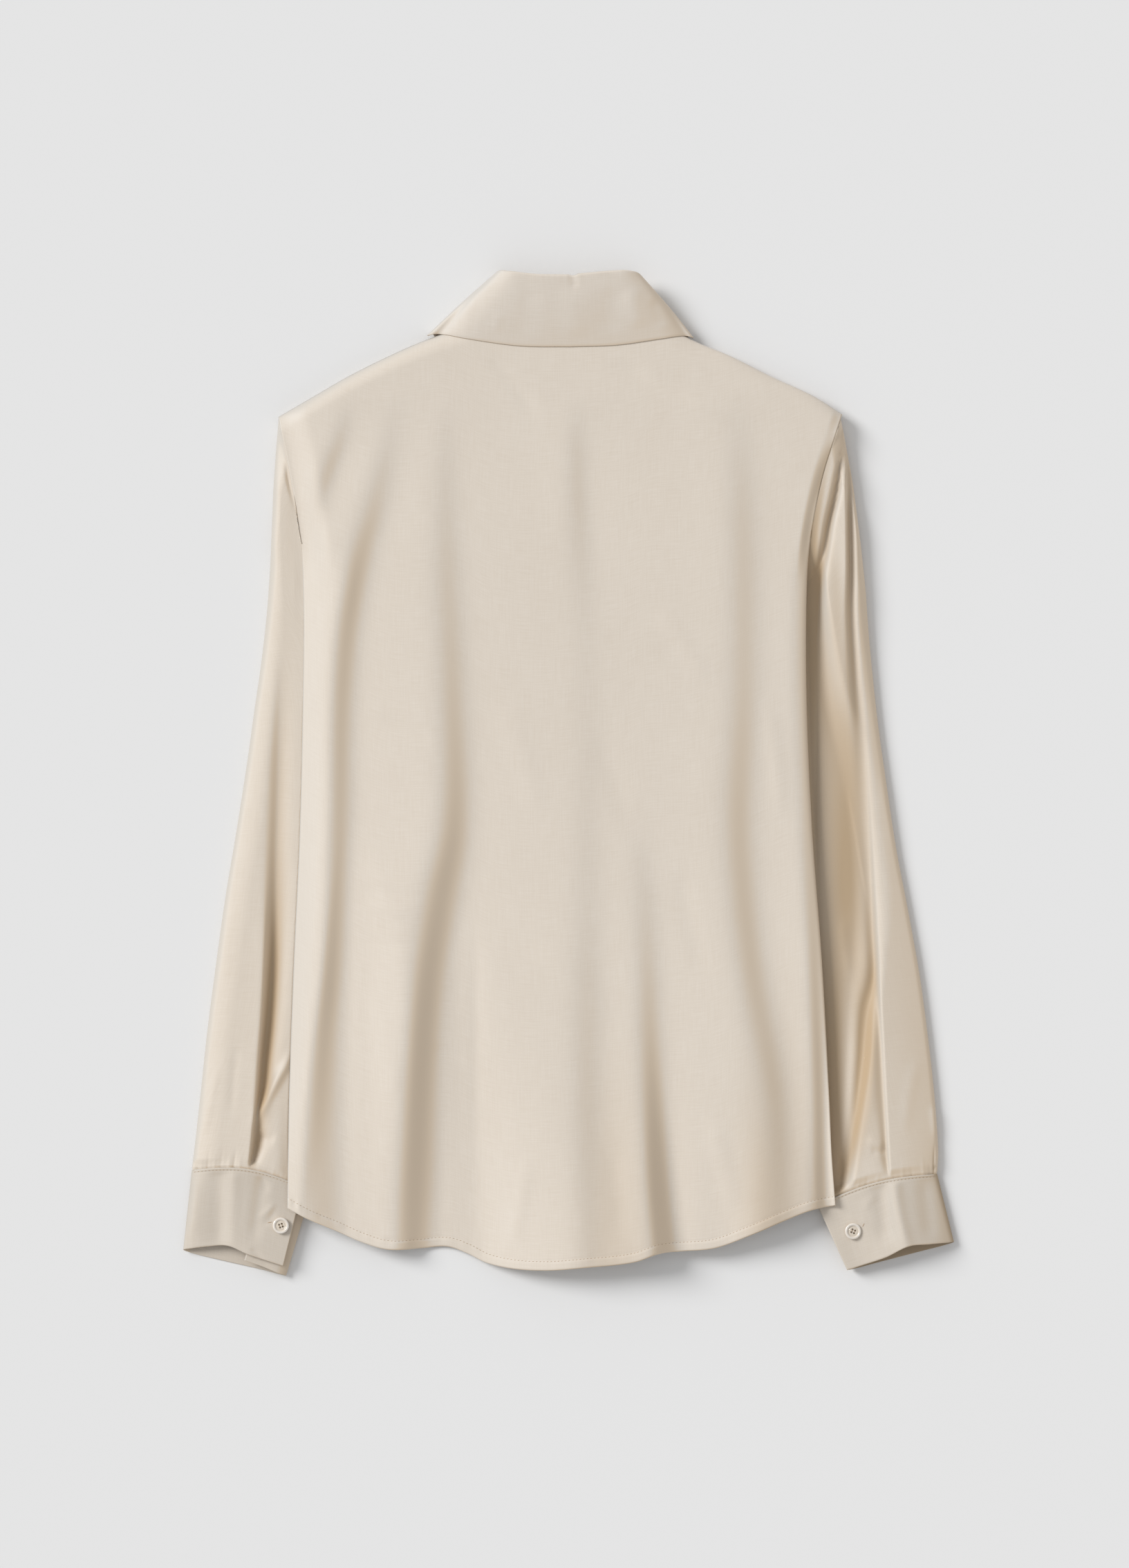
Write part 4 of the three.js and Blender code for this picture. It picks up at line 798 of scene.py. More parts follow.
# A sleeve is a tube of rings, from the cuff seam up to the armhole
def makeSleeve(side):
    hand = handOf(side)
    sections = sleeves[hand]
    parts = ("Beside", "Arch", "PaintedShadow", "PaintedShades", "Valleys", "Pleats", "Creases", "Gathers")
    beside, arch, paintedShadowBeside, tones, valleys, pleats, creases, gathers = [sleeves[hand + part] for part in parts]
    edgeX = bodyLeft if side < 0 else bodyRight
    foot, top = sleeves["armhole"]
    footX, topX = float(edgeX(foot)), float(edgeX(top))
    armhole = (footX - side * sleeves["underBody"], foot, topX + side * sleeves["ease"], top, 0, 1)
    table = [(k, *row) for k, row in enumerate([*sections, armhole])]
    last = len(table) - 1
    nearCuff, upTheArm = sleeves["rings"]
    k = np.concatenate([np.linspace(0, 0.5, nearCuff)[:-1], np.linspace(0.5, last, upTheArm)])
    innerX, innerY, outerX, outerY, bow, join = columnsAt(table, k)
    join = np.clip(join, 0, 1)
    small, settle = sleeves["smallestTurn"], sleeves["settle"]
    atCuff = 1 - ease(k / sleeves["cuffBlend"])[:, None]
    seamTop = cuffTopZ(side)
    outerLine = curveOf([*[(row[3], row[2]) for row in sections], (top, topX)], 0, 1)
    tuckedTop, tuckedMore, tuckedFrom, tuckedBlend = sleeves["tucked"]
    comesUp, comesUpOver = sleeves["comesUp"]
    reliefFrom, reliefOver = sleeves["relief"]
    nearOuter, nearInner = sleeves["sideShares"]

    def outsideBody(x, y):
        return side * (x - edgeX(y))

    def ceiling(x, y, join):
        outside = outsideBody(x, y)
        low, level, climb = columnsAt(beside, y)
        rim, crown, reach = columnsAt(arch, y)
        arched = lerp(crown, rim, (1 - np.clip(side * (outerLine(y) - x) / reach, 0, 1)) ** 2)
        tucked = tuckedTop + tuckedMore * (1 - ease((y - tuckedFrom) / tuckedBlend))
        under = lerp(np.minimum(tucked, low), low, ease((outside + comesUp) / comesUpOver))
        shown = lerp(under, arched, ease((outside - level) / climb))
        joined = lerp(shown, backZ(edgeX(y), y), join * ease((outside + settle) / settle))
        relief = valleyHeight(valleys, x, y) + pleatHeight(pleats, x, y) + creaseHeight(creases, x, y)
        return np.maximum(joined + relief * ease((outside + reliefFrom) / reliefOver), sleeves["lowest"])

    def floor(x, y, join):
        return join * ease((outsideBody(x, y) + settle) / settle) * frontZ(edgeX(y), y, 0)

    def gathered(x, y):
        seamY = lerp(outerY[0], innerY[0], np.clip((x - outerX[0]) / (innerX[0] - outerX[0]), 0, 1))
        total = 0
        for at, lean, length, height, wide in gathers:
            up = (y - seamY) / length
            total = total + height * (1 - ease(up)) * bell((x - at - lean * up) / wide)
        return total

    def toCuff(x, y, z, across):
        return lerp(z, seamTop(across), atCuff) + gathered(x, y)

    width = np.hypot(innerX - outerX, innerY - outerY)
    unit = np.stack([innerX - outerX, innerY - outerY], -1) / width[:, None]

    # How much longer a step is across the tube where a fold runs aslant
    def slant(x, y):
        path = np.stack([np.gradient(x), np.gradient(y)], -1)
        path = path / np.linalg.norm(path, axis=1)[:, None]
        square = np.abs(unit[:, 0] * path[:, 1] - unit[:, 1] * path[:, 0])
        return 1 / np.maximum(square, sleeves["leastSlant"])

    # How far across a fold reaches, and its middle's height
    def turnAt(x, y, inward):
        half = (ceiling(x + inward * sleeves["turnPlace"], y, join) - floor(x, y, join)) / 2
        underarm = ease((y - sleeves["underarmY"]) / sleeves["underarmBlend"]) * (inward == side)
        largest = lerp(sleeves["largestTurn"], small, underarm)
        return np.clip(half, small, largest) * slant(x, y), floor(x, y, join) + half

    outerTurn, outerMiddle = turnAt(outerX, outerY, -side)
    innerTurn, innerMiddle = turnAt(innerX, innerY, side)
    onto = ease(k - last + 1)[:, None]

    def plan(step, lift):
        t = step / width[:, None]
        y = lerp(outerY[:, None], innerY[:, None], t)
        kept = onto * ease(t / nearOuter) * ease((1 - t) / nearInner)
        x = lerp(lerp(outerX[:, None], innerX[:, None], t), edgeX(y) + side * sleeves["ease"], kept)
        return x, y + lift * np.sin(np.pi * t)

    # Half of the round fold at the tube's outer or inner side
    def turn(end, upward):
        angles = np.radians(np.linspace(0, sleeves["turnAngle"], sleeves["turnSteps"]))[None, :]
        atOuter = end == "outer"
        fold = (outerTurn, outerMiddle) if atOuter else (innerTurn, innerMiddle)
        reach, centre = [part[:, None] for part in fold]
        step = reach * (1 - np.cos(angles))
        x, y = plan(step if atOuter else width[:, None] - step, bow[:, None] if upward else 0)
        if upward:
            across = (width[:, None] - step if atOuter else step) / width[:, None]
            top = toCuff(x, y, ceiling(x, y, join[:, None]), across)
            return surface(x, y, centre + np.maximum(top - centre, small) * np.sin(angles))
        return surface(x, y, centre - np.maximum(centre - floor(x, y, join[:, None]), small) * np.sin(angles))

    # The flat side between the two folds, on top or underneath
    def flat(count, upward):
        lo, hi = outerTurn[:, None], (width - innerTurn)[:, None]
        step = lerp(lo, hi, np.linspace(0, 1, count)[None, :])
        x, y = plan(step, bow[:, None] if upward else 0)
        wanted = ceiling(x, y, join[:, None]) if upward else floor(x, y, join[:, None])
        near = step < width[:, None] / 2
        past = np.where(near, step - lo, hi - step)
        nearest = np.where(near, outerMiddle[:, None], innerMiddle[:, None]) + (small if upward else -small)
        kept = np.maximum(wanted, nearest) if upward else np.minimum(wanted, nearest)
        height = lerp(kept, wanted, ease(past / sleeves["foldBlend"]))
        return surface(x, y, toCuff(x, y, height, 1 - step / width[:, None]) if upward else height)

    onTop, underneath = sleeves["across"]
    ring = np.concatenate([
        turn("outer", True), flat(onTop, True), turn("inner", True)[:, ::-1],
        turn("inner", False)[:, 1:], flat(underneath, False)[:, ::-1], turn("outer", False)[:, :0:-1],
    ], 1)
    # The tube's end goes inside the cuff
    step = np.roll(ring, -1, 1) - np.roll(ring, 1, 1)
    stepLength = np.hypot(step[..., 0], step[..., 2])
    inCuff = (1 - ease(k / sleeves["cuffDepth"]))[:, None]
    inward = side * sleeves["insideCuff"] * inCuff / np.maximum(stepLength, 1e-6)
    ring = ring + surface(-step[..., 2] * inward, -np.abs(inward) * stepLength, step[..., 0] * inward)
    x, y = ring[..., 0], ring[..., 1]
    # Painted shadow beside the body's edge, where the body shades the sleeve
    strength, band = columnsAt(paintedShadowBeside, y)
    paintedShade = strength * (1 - ease((outsideBody(x, y) - band * 0.5) / band))
    # Painted shade in the valleys, beside the pleats, down the right sleeve and in its slit
    paintedShade = paintedShade - valleyHeight(valleys, x, y) * sleeves["valleyShade"] - valleyHeight(tones, x, y)
    paintedShade = np.clip(paintedShade, 0, 1) * (ring[..., 2] > small)
    if side > 0:
        ring, paintedShade = ring[:, ::-1], paintedShade[:, ::-1]
    return shellFrom("shirt_sleeve_" + hand, ring, sleeves["wall"], ring=True, shade=paintedShade)


sleeveLeft, sleeveRight = makeSleeve(-1), makeSleeve(1)
print("sleeves", len(sleeveLeft.data.polygons) + len(sleeveRight.data.polygons))


def makeCuff(side):
    hand = handOf(side)
    rows, foldRow, depth = cuffs[hand], cuffs["foldRow"][hand], cuffs["depth"]
    seamPoints = []
    for k, (across, seamZ, *_) in enumerate(rows):
        x, y = cuffSeam(hand, across, side * (foldRow - k) > 0)
        seamPoints.append((x, y - body["seamGap"], seamZ))
    shares = np.linspace(0, 1, cuffs["columns"])
    seamLine = lineThrough(seamPoints, shares)
    edgeLine = lineThrough([row[2:] for row in rows], shares)
    v = placesAcross(depth, *cuffs["rowSteps"])[:, None]
    points = lerp(edgeLine[None], seamLine[None], v[..., None])
    pastFold = side * (foldRow - shares * (len(rows) - 1))
    onTop = ease((pastFold - cuffs["edgeOn"]) / (1 - cuffs["edgeOn"]))[None, :]
    fromSeam, fromEdge = (1 - v) * depth, v * depth
    creases = creaseHeight(cuffs[hand + "Creases"], points[..., 0], points[..., 1])
    relief = creases * ease(fromSeam / cuffs["clear"])
    for height, place, reach in cuffs["seamRoll"]:
        relief = relief + height * bell((fromSeam - place) / reach)
    relief = relief - cuffs["rolled"] * (1 - ease(fromEdge / hem["soft"]))
    points[..., 2] = np.maximum(points[..., 2] + relief * onTop, 0)
    # Painted shade on the inner ply
    inside = (1 - onTop) * cuffs["insideShade"][hand]
    return shellFrom("shirt_cuff_" + hand, points, cuffs["wall"], shade=inside)


cuffLeft, cuffRight = makeCuff(-1), makeCuff(1)
print("cuffs", len(cuffLeft.data.polygons) + len(cuffRight.data.polygons))

# The collar: a stand on the neck seam, and a fall that turns over it
collar = {
    "fallWall": 0.7,
    "standWall": 1.0,
    "roll": 1.6,
    "clearance": 0.8,
    "meet": 3,
    "overBody": 0.15,
    "bulge": 1.2,
    "rolled": 0.3,
    # painted shade on the fall's edge, where it meets its shadow on the back
    "edgeShade": 0.5,
    "standDrop": 0.6,
    "columns": 81,
    "crowding": 1.4,
    "rows": 41,
    "edgeCrowding": 1.3,
    "standRows": 12,
    # the turn over the fold: degrees from and to, steps
    "over": (18, 150, 7),
    # places round the neck where the fall's edge leaves the back, the bulge ends and the creases end,
    # each with its blend
    "leaves": (0.9, 0.1),
    "bulgeEnd": (1.25, 0.3),
    "creaseEnd": (1, 0.1),
    # share of the fall that rolls under at its edge
    "rolledShare": 0.03,
    # x, half width, depth, how quickly it fades down the fall, share of the depth that it sinks
    "notch": (3.2, 1.5, 1.5, 7, 0.5),
    # from x, y to x, y, bow, height, width
    "creases": [
        (-78, 322, -60, 352, 2, 0.5, 5), (-30, 308, -24, 352, 2, -0.35, 8), (6, 308, 4, 350, 1, 0.45, 9),
        (30, 312, 33, 350, 2, -0.5, 9), (52, 316, 46, 350, 2, 0.5, 6), (68, 318, 60, 340, 1, -0.4, 4),
        (-52, 314, -48, 330, 1, 0.25, 4), (2.6, 356, 4.6, 347, 0, -0.6, 1.1),
    ],
    # round the neck, fold x, y, height, fall's edge x, y, height
    "left": [
        (0, 0, 354.6, 21, 0, 304.8, 15.6), (0.45, -26, 355.2, 21, -37, 305.6, 15.6),
        (0.8, -45, 357.8, 19.5, -74, 310.8, 15.2), (0.93, -51, 358.6, 15.5, -93, 314.2, 11),
        (1, -53.5, 356, 9.5, -100.8, 313.4, 8), (1.06, -52.5, 352.5, 4, -100.2, 313.9, 3.4),
        (1.12, -50, 348, 1.2, -97, 314.6, 0.4), (1.35, -42, 331, 0.4, -86, 280, 0.2),
        (1.7, -24, 303, 0.4, -66, 242, 0), (2, -5, 278, 0.2, -46, 216, 0),
    ],
    "right": [
        (0, 0, 354.6, 21, 0, 304.8, 15.6), (0.45, 28, 357.2, 21, 36, 306.2, 15.6),
        (0.8, 45, 357.8, 19.5, 67, 310.6, 15.2), (0.93, 51, 356.6, 15.5, 83, 312.8, 11),
        (1, 54, 353, 9.5, 89, 311.6, 8), (1.06, 53, 350.5, 4, 88.4, 312.2, 3.4),
        (1.12, 50, 348, 1.2, 85.5, 313, 0.4), (1.35, 41, 330, 0.4, 79, 280, 0.2),
        (1.7, 24, 303, 0.4, 63, 242, 0), (2, 5, 278, 0.2, 46, 216, 0),
    ],
}


# A line round the collar from its left end to its right one, and the place round the neck of each point
def collarLine(firstColumn):
    fromSide = np.linspace(-1, 1, collar["columns"])
    rounds = 1 + np.sign(fromSide) * np.abs(fromSide) ** collar["crowding"]

    def half(side, places):
        return np.stack([curveOf(collar[side], 0, firstColumn + c)(places) for c in range(3)], -1)

    points = np.concatenate([half("left", rounds[::-1])[:-1], half("right", rounds)])
    points[:, 2] = np.maximum(points[:, 2], 0)
    return points, np.concatenate([-rounds[:0:-1], rounds])


def neckSeam(w):
    neck = body["neckHalfWidth"]
    turn = np.abs(w)
    x = np.sign(w) * np.where(turn <= 1, neck * turn, neck + (collar["meet"] - neck) * (turn - 1))
    backY, frontY = backTopY(x), frontTopY(x)
    lift = np.where(w < 0, fronts["plyLift"], fronts["buttonLift"])
    y = np.where(turn <= 1, backY, frontY)
    z = np.where(turn <= 1, backZ(x, backY), frontZ(x, frontY, lift))
    inward = -np.sign(w) * np.minimum(turn, 1) ** 4 * collar["clearance"]
    return surface(x + inward, y + collar["clearance"], z)


def makeCollar():
    fold, w = collarLine(1)
    edge, _ = collarLine(4)
    up = fold - edge
    up = up / np.linalg.norm(up, axis=1)[:, None]
    outward = np.cross(np.gradient(fold, axis=0), up)
    outward = outward / np.linalg.norm(outward, axis=1)[:, None]
    onBody = backZ(edge[:, 0], edge[:, 1]) + collar["fallWall"] + collar["overBody"]
    leaves, over = collar["leaves"]
    edge[:, 2] = lerp(onBody, edge[:, 2], ease((np.abs(w) - leaves) / over))
    v = (np.linspace(0, 1, collar["rows"]) ** collar["edgeCrowding"])[:, None, None]
    leaf = lerp(edge[None], fold[None], v)
    ends = (collar["bulgeEnd"], collar["creaseEnd"])
    bulgeEnd, creaseEnd = [ease((end - np.abs(w)) / over) for end, over in ends]
    leaf = leaf + outward[None] * (collar["bulge"] * np.sin(np.pi * v) * bulgeEnd[None, :, None])
    leaf[..., 2] += creaseHeight(collar["creases"], leaf[..., 0], leaf[..., 1]) * creaseEnd
    notchX, notchWidth, notchDepth, quickness, sink = collar["notch"]
    notch = notchDepth * bell((leaf[..., 0] - notchX) / notchWidth) * v[..., 0] ** quickness
    leaf[..., 1] -= notch
    leaf[..., 2] -= sink * notch + collar["rolled"] * (1 - ease(v[..., 0] / collar["rolledShare"]))
    roll = collar["roll"]
    turns = np.radians(np.linspace(*collar["over"]))[:, None, None]
    over = leaf[-1:] + up[None] * roll * np.sin(turns) - outward[None] * roll * (1 - np.cos(turns))
    points = np.concatenate([leaf, over])
    points[..., 2] = np.maximum(points[..., 2], 0)
    # Painted shade on the fall's first row
    shadedEdge = (np.arange(len(points)) < 1)[:, None] * collar["edgeShade"]
    fall = shellFrom("shirt_collar_fall", points, collar["fallWall"], shade=shadedEdge)
    inside = body["doubledPly"] + body["seamGap"]
    standTop = fold - outward * inside - up * collar["standDrop"]
    v = np.linspace(0, 1, collar["standRows"])[:, None, None]
    stand = shellFrom("shirt_collar_stand", lerp(neckSeam(w)[None], standTop[None], v), collar["standWall"])
    return fall, stand


collarFall, collarStand = makeCollar()
print("collar", len(collarFall.data.polygons) + len(collarStand.data.polygons))


# Buttons: turned discs with a dished face, a ring groove and four holes
button = {
    "radius": 5.8,
    "rim": 2.2,
    "dish": 0.6,
    "dishRadius": 4.3,
    "dishSlope": 0.6,
    # widths of the rounding at the rim's face, its foot and the dish
    "rounding": (0.75, 0.5, 0.3),
    "sides": 64,
    "holeSides": 20,
    "holeRadius": 0.75,
    "holeOffset": 1.01,
    # inset and lift of each ring
    "groove": ((0.35, 0), (0.25, -0.14), (0.25, 0.2)),
    "frontCount": 7,
    "frontTop": 232,
    "frontSpacing": 78,
    "offFloor": 0.02,
    "shank": 0.15,
    # on the cuffs: x, y, turn about x, y and z
    "left": (-205.6, -323, -0.02, -0.03, 0.35),
    "right": (203.2, -327, 0, 0.06, -0.4),
}


def pick(piece, faces=None, edges=None):
    bm = bmesh.from_edit_mesh(piece.data)
    for part in (*bm.verts, *bm.edges, *bm.faces):
        part.select = False
    for part in (bm.faces if faces else bm.edges):
        if (faces or edges)(part):
            part.select_set(True)
    bmesh.update_edit_mesh(piece.data)


def onRing(edge, radius, height, nearEnough=0.02):
    away = [(v.co.xy.length - radius * mm, v.co.z - height * mm) for v in edge.verts]
    return all(abs(distance) < nearEnough * mm for pair in away for distance in pair)


def makeButton():
    radius, rim = button["radius"], button["rim"]
    middle = (0, 0, rim * mm / 2)
    sides = button["sides"]
    bpy.ops.mesh.primitive_cylinder_add(vertices=sides, radius=radius * mm, depth=rim * mm, location=middle)
    disc = bpy.context.object
    bpy.ops.object.transform_apply(location=True)
    bpy.ops.object.mode_set(mode="EDIT")
    bpy.ops.mesh.select_mode(type="FACE")
    pick(disc, faces=lambda f: f.normal.z > 0.9)
    dish = ((radius - button["dishRadius"], 0), (button["dishSlope"], -button["dish"]))
    for inward, up in (*dish, *button["groove"]):
        bpy.ops.mesh.inset(thickness=inward * mm, depth=up * mm)
    bpy.ops.mesh.select_mode(type="EDGE")
    atFace, atFoot, atDish = button["rounding"]
    rounded = ((radius, rim, atFace, 5), (radius, 0, atFoot, 3), (button["dishRadius"], rim, atDish, 3))
    for ring, height, width, segments in rounded:
        pick(disc, edges=lambda e: onRing(e, ring, height))
        bpy.ops.mesh.bevel(offset=width * mm, segments=segments)
    bpy.ops.object.mode_set(mode="OBJECT")
    away, hole = button["holeOffset"] * mm, button["holeRadius"] * mm
    for x, y in ((-away, -away), (-away, away), (away, -away), (away, away)):
        bpy.ops.object.select_all(action="DESELECT")
        bpy.ops.mesh.primitive_cylinder_add(
            vertices=button["holeSides"], radius=hole, depth=2 * rim * mm, location=(x, y, rim * mm / 2))
        drill = bpy.context.object
        cut = disc.modifiers.new("hole", "BOOLEAN")
        cut.operation = "DIFFERENCE"
        cut.solver = "EXACT"
        cut.object = drill
        applyModifiers(disc)
        bpy.data.objects.remove(drill, do_unlink=True)
    disc.select_set(True)
    bpy.context.view_layer.objects.active = disc
    bpy.ops.object.shade_smooth_by_angle(angle=math.radians(32))
    fromMiddle = [v.co.xy.length / (radius * mm) for v in disc.data.vertices]
    disc.data.attributes.new("ring", "FLOAT", "POINT").data.foreach_set("value", fromMiddle)
    return disc


def turnedTo(x, y, z, turns):
    aboutX, aboutY, aboutZ = [Matrix.Rotation(angle, 4, axis) for angle, axis in zip(turns, "XYZ")]
    return Matrix.Translation((x * mm, y * mm, z * mm)) @ aboutX @ aboutY @ aboutZ


# The height of a piece's face under a point, and the way it faces
def onFace(piece, x, y):
    hit, place, normal, _ = piece.ray_cast(Vector((x * mm, y * mm, 0.2)), Vector((0, 0, -1)))
    return (place, normal) if hit else (None, None)


bpy.context.view_layer.update()
firstButton = makeButton()
places = {}
for k in range(button["frontCount"]):
    y = button["frontTop"] - k * button["frontSpacing"]
    places[f"front_button_{k + 1}"] = turnedTo(0, y, button["rim"] + button["offFloor"], (math.pi, 0, 0))
for hand, cuff in (("left", cuffLeft), ("right", cuffRight)):
    x, y, *turns = button[hand]
    places["cuff_button_" + hand] = turnedTo(x, y, onFace(cuff, x, y)[0].z / mm + button["shank"], turns)
buttons = {}
for node, place in places.items():
    buttons[node] = linked("shirt_" + node, firstButton.data.copy())
    buttons[node].data.transform(place)
bpy.data.objects.remove(firstButton, do_unlink=True)
print("buttons", len(buttons))

# Stitches: small dashes of thread along the hem, the cuff seams and the buttonholes
stitch = {
    "pitch": 2.6,
    "length": 1.5,
    "wide": 0.42,
    "high": 0.24,
    "lean": 0.16,
    "hemInside": 6.5,
    "cuffInside": 2.1,
    "hemEnds": (-199.5, 188.5),
    # x, y, direction, length
    "leftButtonhole": (-213.6, -320.8, 1, 0.2, 3.6),
    "rightButtonhole": (210.6, -322.6, 0.5, 1, 3.2),
    "barWide": 0.7,
    # length and width of the bars across a button, and their lift over its dish
    "onButton": (2.5, 0.5),
    "onButtonLift": 0.1,
    # least share that the cloth under a stitch faces up
    "leastUp": 0.3,
}


def oneDash():
    bpy.ops.mesh.primitive_uv_sphere_add(segments=6, ring_count=4, radius=0.5)
    dash = bpy.context.object
    points = np.array([v.co[:] for v in dash.data.vertices])
    faces = [tuple(f.vertices) for f in dash.data.polygons]
    bpy.data.objects.remove(dash, do_unlink=True)
    return points, faces


dashPoints, dashFaces = oneDash()


# One mesh of dashes: place, direction, the way the cloth faces, length and width of each
def stitchedMesh(name, dashes):
    points, faces = [], []
    for place, along, normal, length, wide in dashes:
        normal = np.array(normal)
        along = np.array(along) - normal * np.dot(along, normal)
        along = along / np.linalg.norm(along)
        across = np.cross(normal, along)
        start = len(points) * len(dashPoints)
        size = dashPoints * (length, wide, stitch["high"]) * mm
        points.append(np.array(place) + size @ np.array([along, across, normal]))
        faces += [tuple(start + v for v in face) for face in dashFaces]
    mesh = bpy.data.meshes.new(name)
    mesh.from_pydata(np.concatenate(points).tolist(), [], faces)
    mesh.shade_smooth()
    return linked(name, mesh)


def stitchesAlong(cloth, path):
    gaps = np.hypot(*np.diff(path, axis=0).T)
    along = np.concatenate([[0], np.cumsum(gaps)])
    dashes = []
    for at in np.arange(stitch["pitch"] / 2, along[-1], stitch["pitch"]):
        (x, aheadX), (y, aheadY) = [np.interp((at, at + 0.5), along, path[:, c]) for c in (0, 1)]
        aheadX, aheadY = aheadX - x, aheadY - y
        place, normal = onFace(cloth, x, y)
        if place is not None and normal.z > stitch["leastUp"]:
            lean = (aheadX - stitch["lean"] * aheadY, aheadY + stitch["lean"] * aheadX, 0)
            dashes.append((place, lean, normal, stitch["length"], stitch["wide"]))
    return dashes


def cuffStitches(cloth, hand):
    x, y, alongX, alongY, length = stitch[hand + "Buttonhole"]
    path = np.stack(cuffSeam(hand, np.linspace(0.02, 0.98, 80)), -1) - (0, stitch["cuffInside"])
    place, normal = onFace(cloth, x, y)
    bar = (place, (alongX, alongY, 0), normal, length, stitch["barWide"])
    return stitchedMesh(f"shirt_cuff_{hand}_stitches", [*stitchesAlong(cloth, path), bar])


# Two bars of thread across the holes of each button
def threadsOf(matrix):
    turn = matrix.to_3x3()
    along, up = turn @ Vector((0, 1, 0)), turn @ Vector((0, 0, 1))
    away, height = button["holeOffset"] * mm, (button["rim"] - button["dish"] + stitch["onButtonLift"]) * mm
    return [(matrix @ Vector((x, 0, height)), along, up, *stitch["onButton"]) for x in (-away, away)]


bpy.context.view_layer.update()
hemX = np.linspace(*stitch["hemEnds"], 600)
hemUp = stitch["hemInside"] * np.hypot(1, np.gradient(hemY(hemX), hemX))
hemPath = np.stack([hemX, hemY(hemX) + hemUp], -1)
hemStitches = stitchedMesh("shirt_hem_stitches", stitchesAlong(backPiece, hemPath))
leftStitches, rightStitches = cuffStitches(cuffLeft, "left"), cuffStitches(cuffRight, "right")
threadBars = [bar for place in places.values() for bar in threadsOf(place)]
buttonThreads = stitchedMesh("shirt_button_threads", threadBars)
print("stitches", len(hemStitches.data.polygons))


# Materials


# A socket that adds its own Math nodes when used in an expression
class Wire:
    def __init__(self, graph, socket):
        self.graph = graph
        self.socket = socket

    def __add__(self, other):
        return self.graph.maths("ADD", self, other)

    __radd__ = __add__

    def __mul__(self, other):
        return self.graph.maths("MULTIPLY", self, other)

    __rmul__ = __mul__

    def __sub__(self, other):
        return self.graph.maths("SUBTRACT", self, other)

    def __rsub__(self, other):
        return self.graph.maths("SUBTRACT", other, self)


class Graph:
    def __init__(self, name):
        self.material = bpy.data.materials.new(name)
        self.material.use_nodes = True
        self.nodes = self.material.node_tree.nodes
        self.links = self.material.node_tree.links
        self.nodes.clear()

    # A node's type, its settings, then the values or links of its sockets
    def node(self, kind, settings, sockets, output=0):
        made = self.nodes.new("ShaderNode" + kind)
        for key, value in settings.items():
            setattr(made, key, value)
        for key, value in sockets.items():
            if isinstance(value, Wire):
                self.links.new(value.socket, made.inputs[key])
            else:
                made.inputs[key].default_value = value
        return Wire(self, made.outputs[output]) if made.outputs else None

    def maths(self, operation, a, b):
        return self.node("Math", {"operation": operation}, {0: a, 1: b})

    def mix(self, factor, a, b):
        return self.node("Mix", {"data_type": "RGBA"}, {0: factor, 6: a, 7: b}, 2)

    # 0 to 1 as a value goes from one limit to the other
    def between(self, value, low, high, kind="LINEAR"):
        sockets = {"Value": value, 1: low, 2: high, 3: 0.0, 4: 1.0}
        return self.node("MapRange", {"interpolation_type": kind}, sockets)

    def attribute(self, name):
        return self.node("Attribute", {"attribute_name": name}, {}, 2)

    def ownPlace(self):
        return self.node("TexCoord", {}, {}, 3)

    def bump(self, strength, distance, height):
        return self.node("Bump", {}, {"Strength": strength, "Distance": distance, "Height": height})

    def finish(self, looks):
        self.node("OutputMaterial", {}, {"Surface": self.node("BsdfPrincipled", {}, looks)})
        return self.material


viscose = {
    "lit": (0.795, 0.720, 0.630, 1),
    "dull": (0.715, 0.632, 0.536, 1),
    # painted warm shade for the sides that turn away from the sun
    "slope": (0.825, 0.685, 0.530, 1),
    # painted shade, the colour that the pieces' painted shade attribute mixes in
    "paintedShadeTint": (0.510, 0.385, 0.252, 1),
    # painted dimming for the steep sides that face the sun
    "sunSideDimming": (0.540, 0.510, 0.465, 1),
    "roughness": 0.46,
    "fusedRoughness": 0.52,
    "sheen": 0.18,
    "sheenTint": (1.0, 0.95, 0.88, 1),
    "slub": 0.0009,
    "slubLength": 0.022,
    "thread": 0.00042,
    # shares of the threads along and across
    "weave": (0.45, 0.55),
    # how much the threads, the clouds and the fine grain change the tone
    "tone": (1.9, 0.45, 0.4),
    # for painted shade by facing: weights of the two directions that the cloth turns, and where the colour
    # begins and is full
    "shadedSideFacing": (0.8, 0.6, 0.03, 0.34),
    "sunSideFacing": (0.5, 0.85, 0.12, 0.8),
    "grain": 0.12,
    # strength, distance, share of the fine grain
    "bump": (0.16, 0.0002, 0.5),
    "cloud": (0.05, 0.09),
}


